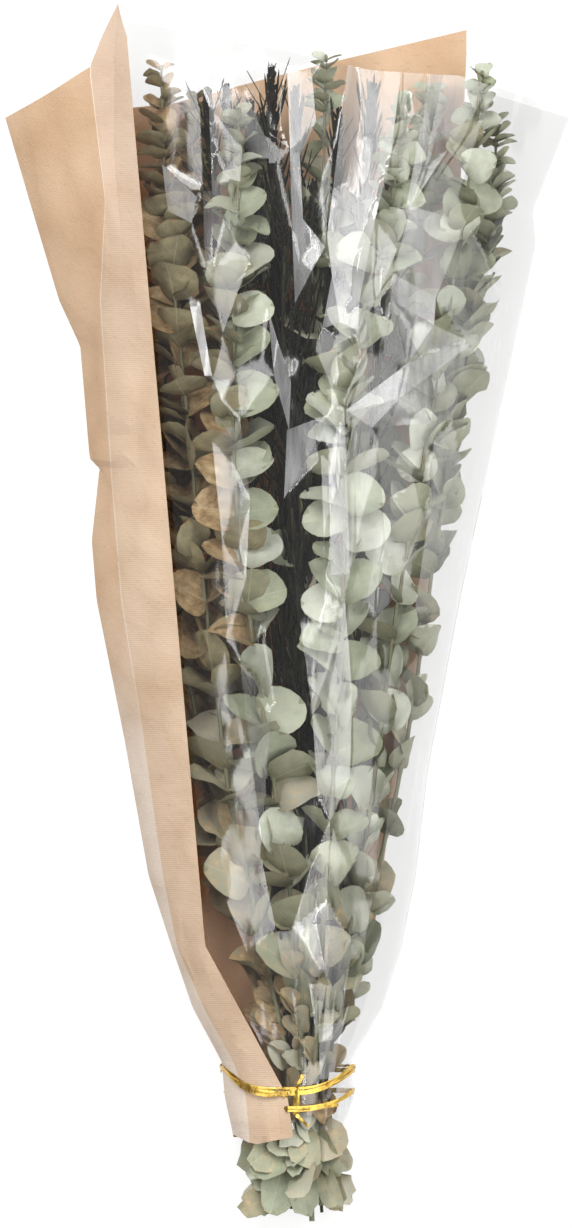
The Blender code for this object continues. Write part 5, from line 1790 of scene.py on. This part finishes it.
stalk_stops = (0.3, "2a2820"), (0.55, "3f3b2b"), (0.8, "5d5840")
straw_stalk, tree, shader, *_ = fibrous(
    "dried lavender stalk", 0.001, 3, 0.06, stalk_stops, strength=0.5, depth=0.0002
)
set_inputs(tree, shader, Roughness=0.8)
for name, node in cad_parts.items():
    if name.startswith("lavender_stalk"):
        dress(node, straw_stalk)

# Nearly black: painted shade of the bunch's deep middle.
shaded_narrow_stops = (0.3, "191814"), (0.55, "2a2921"), (0.8, "434230")
grey_leaf, tree, shader, *_ = fibrous(
    "dried lavender leaf", 0.004, 3, 1, shaded_narrow_stops, strength=0.5, depth=0.0003
)
set_inputs(tree, shader, Roughness=0.85, Specular_IOR_Level=0.2)
dress(needles, grey_leaf)
print("plant finishes:", [made.name for made in (leaf_wax, bark, felt, straw_stalk, grey_leaf)])

# %% [markdown]
# ## Kraft paper finish
# Ribbed kraft is unbleached wood pulp: warm tan, matte, with fine parallel ribs that run across the sheet,
# and darker fibres. The real ribs are about 0.8 mm apart and are drawn 1.1 mm apart, so that they show. The
# paper has three tones, two of them with painted light: the tan of the side that faces away from the light;
# a lit copy on the strip beside the film, paler as painted light and pinker in its own colour, which is
# painted darker and cooler towards the mouth as painted shade; and the flap's lower end, painted nearly
# white as painted light. A value kept at each point of the mesh says which: 1 on the strip, up to 0.5 on the
# lower end, and 0 elsewhere. The dents of the crumples are painted darker too, as painted shade.

# %% Kraft material
paper_tan, tree, shader, place = new_material("ribbed kraft paper")
strip = add_node(tree, "Attribute", {"attribute_name": "strip"}).outputs["Fac"]
turned_place = add_node(tree, "Mapping", Vector=place, Rotation=(0, 0, math.radians(24))).outputs["Vector"]
drift = add_node(tree, "TexNoise", Vector=place, Scale=1 / 0.03, Detail=2, Roughness=0.6)
waver = add_node(tree, "Math", MULTIPLY, n0=drift, n1=0.0012)
RIB_SPACING = 0.0011
rib_heights = []
for source in (place, turned_place):
    along = add_node(tree, "SeparateXYZ", Vector=source).outputs["Y"]
    wavy = add_node(tree, "Math", ADD, n0=along, n1=waver)
    wave = add_node(tree, "Math", MULTIPLY, n0=wavy, n1=math.tau / RIB_SPACING)
    up_and_down = add_node(tree, "Math", {"operation": "SINE"}, n0=wave)
    rib_heights.append(add_node(tree, "Math", MULTIPLY_ADD, n0=up_and_down, n1=0.5, n2=0.5))
rib = add_node(tree, "Mix", n0=strip, n2=rib_heights[1], n3=rib_heights[0]).outputs[0]
fibre_place = add_node(tree, "Mapping", Vector=place, Scale=(0.35, 1, 1))
fibre = add_node(tree, "TexNoise", Vector=fibre_place, Scale=1 / 0.0016, Detail=4, Roughness=0.6)
cloud = add_node(tree, "TexNoise", Vector=place, Scale=1 / 0.035, Detail=3, Roughness=0.6)
print("rib spacing:", RIB_SPACING / MM, "mm, with", len(tree.nodes), "nodes so far")

# %% Kraft colour and crumples
# The strip beside the film is a lit copy of the paper: pinker in its own colour, paler as painted light.
outer = add_node(tree, "Mix", MIX, n0=cloud, n6=linear("e4c2a1"), n7=linear("efd6ba"))
lit = add_node(tree, "Mix", MIX, n0=cloud, n6=linear("e8cdb2"), n7=linear("f3dfc8"))
# The flap's lower end is painted nearly white: painted light.
low_share = add_node(tree, "MapRange", SMOOTH, Value=strip, From_Min=0.0, From_Max=0.5)
colour = add_node(tree, "Mix", MIX, n0=low_share, n6=outer, n7=linear("fdf3e8"))
front_strip = add_node(tree, "MapRange", SMOOTH, Value=strip, From_Min=0.5, From_Max=1.0)
colour = add_node(tree, "Mix", MIX, n0=front_strip, n6=colour, n7=lit)
# Towards the mouth the strip is painted darker and cooler: painted shade.
height = add_node(tree, "SeparateXYZ", Vector=place).outputs["Y"]
near_mouth = add_node(tree, "MapRange", SMOOTH, Value=height, From_Min=0.08, From_Max=0.3)
high_share = add_node(tree, "Math", MULTIPLY, n0=front_strip, n1=near_mouth)
colour = add_node(tree, "Mix", DARKEN, n0=high_share, n6=colour, n7=linear("eff3fb"))
rib_share = add_node(tree, "Math", MULTIPLY, n0=rib, n1=0.16)
colour = add_node(tree, "Mix", MIX, n0=rib_share, n6=colour, n7=linear("b98f63"))
for low, high, most, code in ((0.58, 0.75, 0.35, "b48a5c"), (0.42, 0.28, 0.3, "f3e2cd")):
    seen = add_node(tree, "MapRange", SMOOTH, Value=fibre, From_Min=low, From_Max=high, To_Min=0, To_Max=most)
    colour = add_node(tree, "Mix", MIX, n0=seen, n6=colour, n7=linear(code))
# The crumples' dents are painted darker in the colour: painted shade.
bent_place = add_node(tree, "VectorMath", ADD, n0=place, n1=(0.013, 0.004, 0.0))
dented = add_node(tree, "TexVoronoi", Vector=bent_place, Scale=1 / 0.032).outputs["Distance"]
crumple_shade_stops = (0.1, "fffdfa"), (0.5, "f8f4ef"), (0.9, "ece4da")
crumple_shade = add_node(tree, "ValToRGB", {"stops": crumple_shade_stops}, Fac=dented)
colour = add_node(tree, "Mix", DARKEN, n0=1.0, n6=colour, n7=crumple_shade)
rolling = add_node(tree, "TexNoise", Vector=place, Scale=1 / 0.018, Detail=3, Roughness=0.6)
crumple = add_node(tree, "Math", MULTIPLY_ADD, n0=dented, n1=1.3, n2=rolling)
rib_relief = add_node(tree, "Math", MULTIPLY, n0=rib, n1=0.25)
crumple_relief = add_node(tree, "Math", MULTIPLY, n0=crumple, n1=4.5)
relief = add_node(tree, "Math", ADD, n0=rib_relief, n1=crumple_relief)
fibre_relief = add_node(tree, "Math", MULTIPLY, n0=fibre, n1=0.5)
relief = add_node(tree, "Math", ADD, n0=relief, n1=fibre_relief)
bump = add_node(tree, "Bump", Strength=0.55, Distance=0.0006, Height=relief)
set_inputs(tree, shader, Base_Color=colour, Roughness=0.82, Specular_IOR_Level=0.25, Normal=bump)
# The sheet is thin, so some light comes through it and warms the inside of the sleeve.
glow = add_node(tree, "BsdfTranslucent", Color=(0.72, 0.45, 0.24, 1))
thin = add_node(tree, "MixShader", n0=0.2, n1=shader, n2=glow)
set_inputs(tree, tree.nodes["Material Output"], Surface=thin)
dress(kraft, paper_tan)
# The same value puts the painted light on the flap's lower end, fading out upwards.
LOWER_END_LIGHT_TOP, LOWER_END_LIGHT_FADE = 20, 130
strip_values = kraft.data.attributes.new("strip", "FLOAT", "POINT")
for vert in kraft.data.vertices:
    x, y, z = vert.co / MM
    front = z > 4 + at(BACK_LIFT, y)
    lower = 0.5 * min(1.0, max(0.0, (LOWER_END_LIGHT_TOP - y) / LOWER_END_LIGHT_FADE)) if front else 0.0
    strip_values.data[vert.index].value = 1.0 if front and x > at(FLAP_CREASE, y) else lower
print("kraft material nodes:", len(tree.nodes))

# %% [markdown]
# ## Clear film finish
# The film is biaxially oriented polypropylene, about 40 microns thick: nearly invisible face on, and a
# mirror where it turns away or where a fold faces a light. So it is a mix of a clear and a glossy surface,
# by how far the surface turns away from the eye, with small crumples in the bump. The sheen panels add a
# share of cloudy white with fine streaks along the bunch, and a little more mirror: painted reflection.

# %% Film material
clear, tree, shader, place = new_material("clear polypropylene film")
crease_place, ripple_place, streak_place = (
    add_node(tree, "Mapping", Vector=place, Scale=(1, stretch, 1)) for stretch in (0.35, 0.3, 0.12)
)
crease = add_node(tree, "TexNoise", Vector=crease_place, Scale=1 / 0.03, Detail=2, Roughness=0.6)
ripple = add_node(tree, "TexNoise", Vector=ripple_place, Scale=1 / 0.008, Detail=2, Roughness=0.6)
crease_relief = add_node(tree, "Math", MULTIPLY, n0=crease, n1=1.0)
ripple_relief = add_node(tree, "Math", MULTIPLY, n0=ripple, n1=0.12)
relief = add_node(tree, "Math", ADD, n0=crease_relief, n1=ripple_relief)
bump = add_node(tree, "Bump", Strength=0.32, Distance=0.003, Height=relief)
facing = add_node(tree, "LayerWeight", Blend=0.5, Normal=bump).outputs["Facing"]
turned_away = add_node(tree, "Math", {"operation": "POWER"}, n0=facing, n1=5.0)
mirror = add_node(tree, "Math", MULTIPLY_ADD, n0=turned_away, n1=0.9, n2=0.042)
see_through = add_node(tree, "BsdfTransparent", Color=(0.964, 0.965, 0.964, 1))
set_inputs(tree, shader, Base_Color=(1, 1, 1, 1), Metallic=1.0, Roughness=0.12, Normal=bump)
sheen_here = add_node(tree, "Attribute", {"attribute_name": "veil"}).outputs["Fac"]
streaks = add_node(tree, "TexNoise", Vector=streak_place, Scale=1 / 0.004, Detail=3, Roughness=0.6)
streaked = add_node(
    tree, "MapRange", SMOOTH, Value=streaks, From_Min=0.25, From_Max=0.7, To_Min=0.15, To_Max=0.31
)
# Painted reflection: on the sheen panels a share of cloudy white, streaked along the bunch.
sheen_share = add_node(tree, "Math", MULTIPLY, n0=sheen_here, n1=streaked)
sheen_white = add_node(tree, "BsdfDiffuse", Color=(0.86, 0.86, 0.87, 1), Normal=bump)
clear_with_sheen = add_node(tree, "MixShader", n0=sheen_share, n1=see_through, n2=sheen_white)
# Painted reflection: the sheen panels also mirror a little more.
mirror = add_node(tree, "Math", MULTIPLY_ADD, n0=sheen_here, n1=0.03, n2=mirror)
mixed = add_node(tree, "MixShader", n0=mirror, n1=clear_with_sheen, n2=shader)
set_inputs(tree, tree.nodes["Material Output"], Surface=mixed)
dress(film, clear)
print("film material nodes:", len(tree.nodes))

# %% [markdown]
# ## Gold foil and floor finish
# The tie is aluminised polyester foil with a gold lacquer: a bright metal with fine marks along the strand
# from slitting, so it is made as the fibrous finishes are, with a roughness that follows the marks. The
# floor is white opal acrylic with a lamp below it, so it gives light of its own.

# %% Gold and floor materials
foil_stops = (0.3, "c39a45"), (0.6, "dcb85c"), (0.85, "f0da98")
foil, tree, shader, _, marks, _ = fibrous(
    "gold lacquered foil", 0.003, 2, 0.4, foil_stops, strength=0.3, depth=0.0003
)
rough = add_node(tree, "MapRange", SMOOTH, Value=marks, From_Min=0.3, From_Max=0.7, To_Min=0.24, To_Max=0.4)
set_inputs(tree, shader, Metallic=1.0, Roughness=rough)
dress(tie, foil)

opal, tree, shader, place = new_material("opal acrylic table")
tooth = add_node(tree, "TexNoise", Vector=place, Scale=1 / 0.002, Detail=2, Roughness=0.6)
colour = add_node(tree, "ValToRGB", {"stops": ((0.3, "7c7c7b"), (0.7, "818180"))}, Fac=tooth)
set_inputs(tree, shader, Base_Color=colour, Roughness=0.95, Specular_IOR_Level=0.1)
set_inputs(tree, shader, Emission_Color=(1, 1, 1, 1), Emission_Strength=0.84)
floor.data.materials.append(opal)
print("materials:", [m.name for m in bpy.data.materials if m.users])

# %% [markdown]
# ## Telling the frame what each piece is
# The bunch has no joint, so every piece rides on the one body. Each new piece stands for its CAD node,
# which is hidden.

# %% Rides, nodes and slots
ROLES = [
    (kraft, "kraft_paper", "kraft_paper"), (film, "clear_film", "clear_film"),
    (tie, "gold_tie", "gold_ribbon"),
]
ROLES += [(piece, stem_name(i), "eucalyptus") for i, piece in enumerate(foliage, 1)]
ROLES += [(piece, f"lavender_head_{i:02d}", "lavender_flower") for i, piece in enumerate(spikes_made, 1)]
for piece, node, slot in ROLES:
    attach(piece, "root")
    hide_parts(node)
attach(needles, "root")
print("pieces placed:", len(ROLES) + 1)
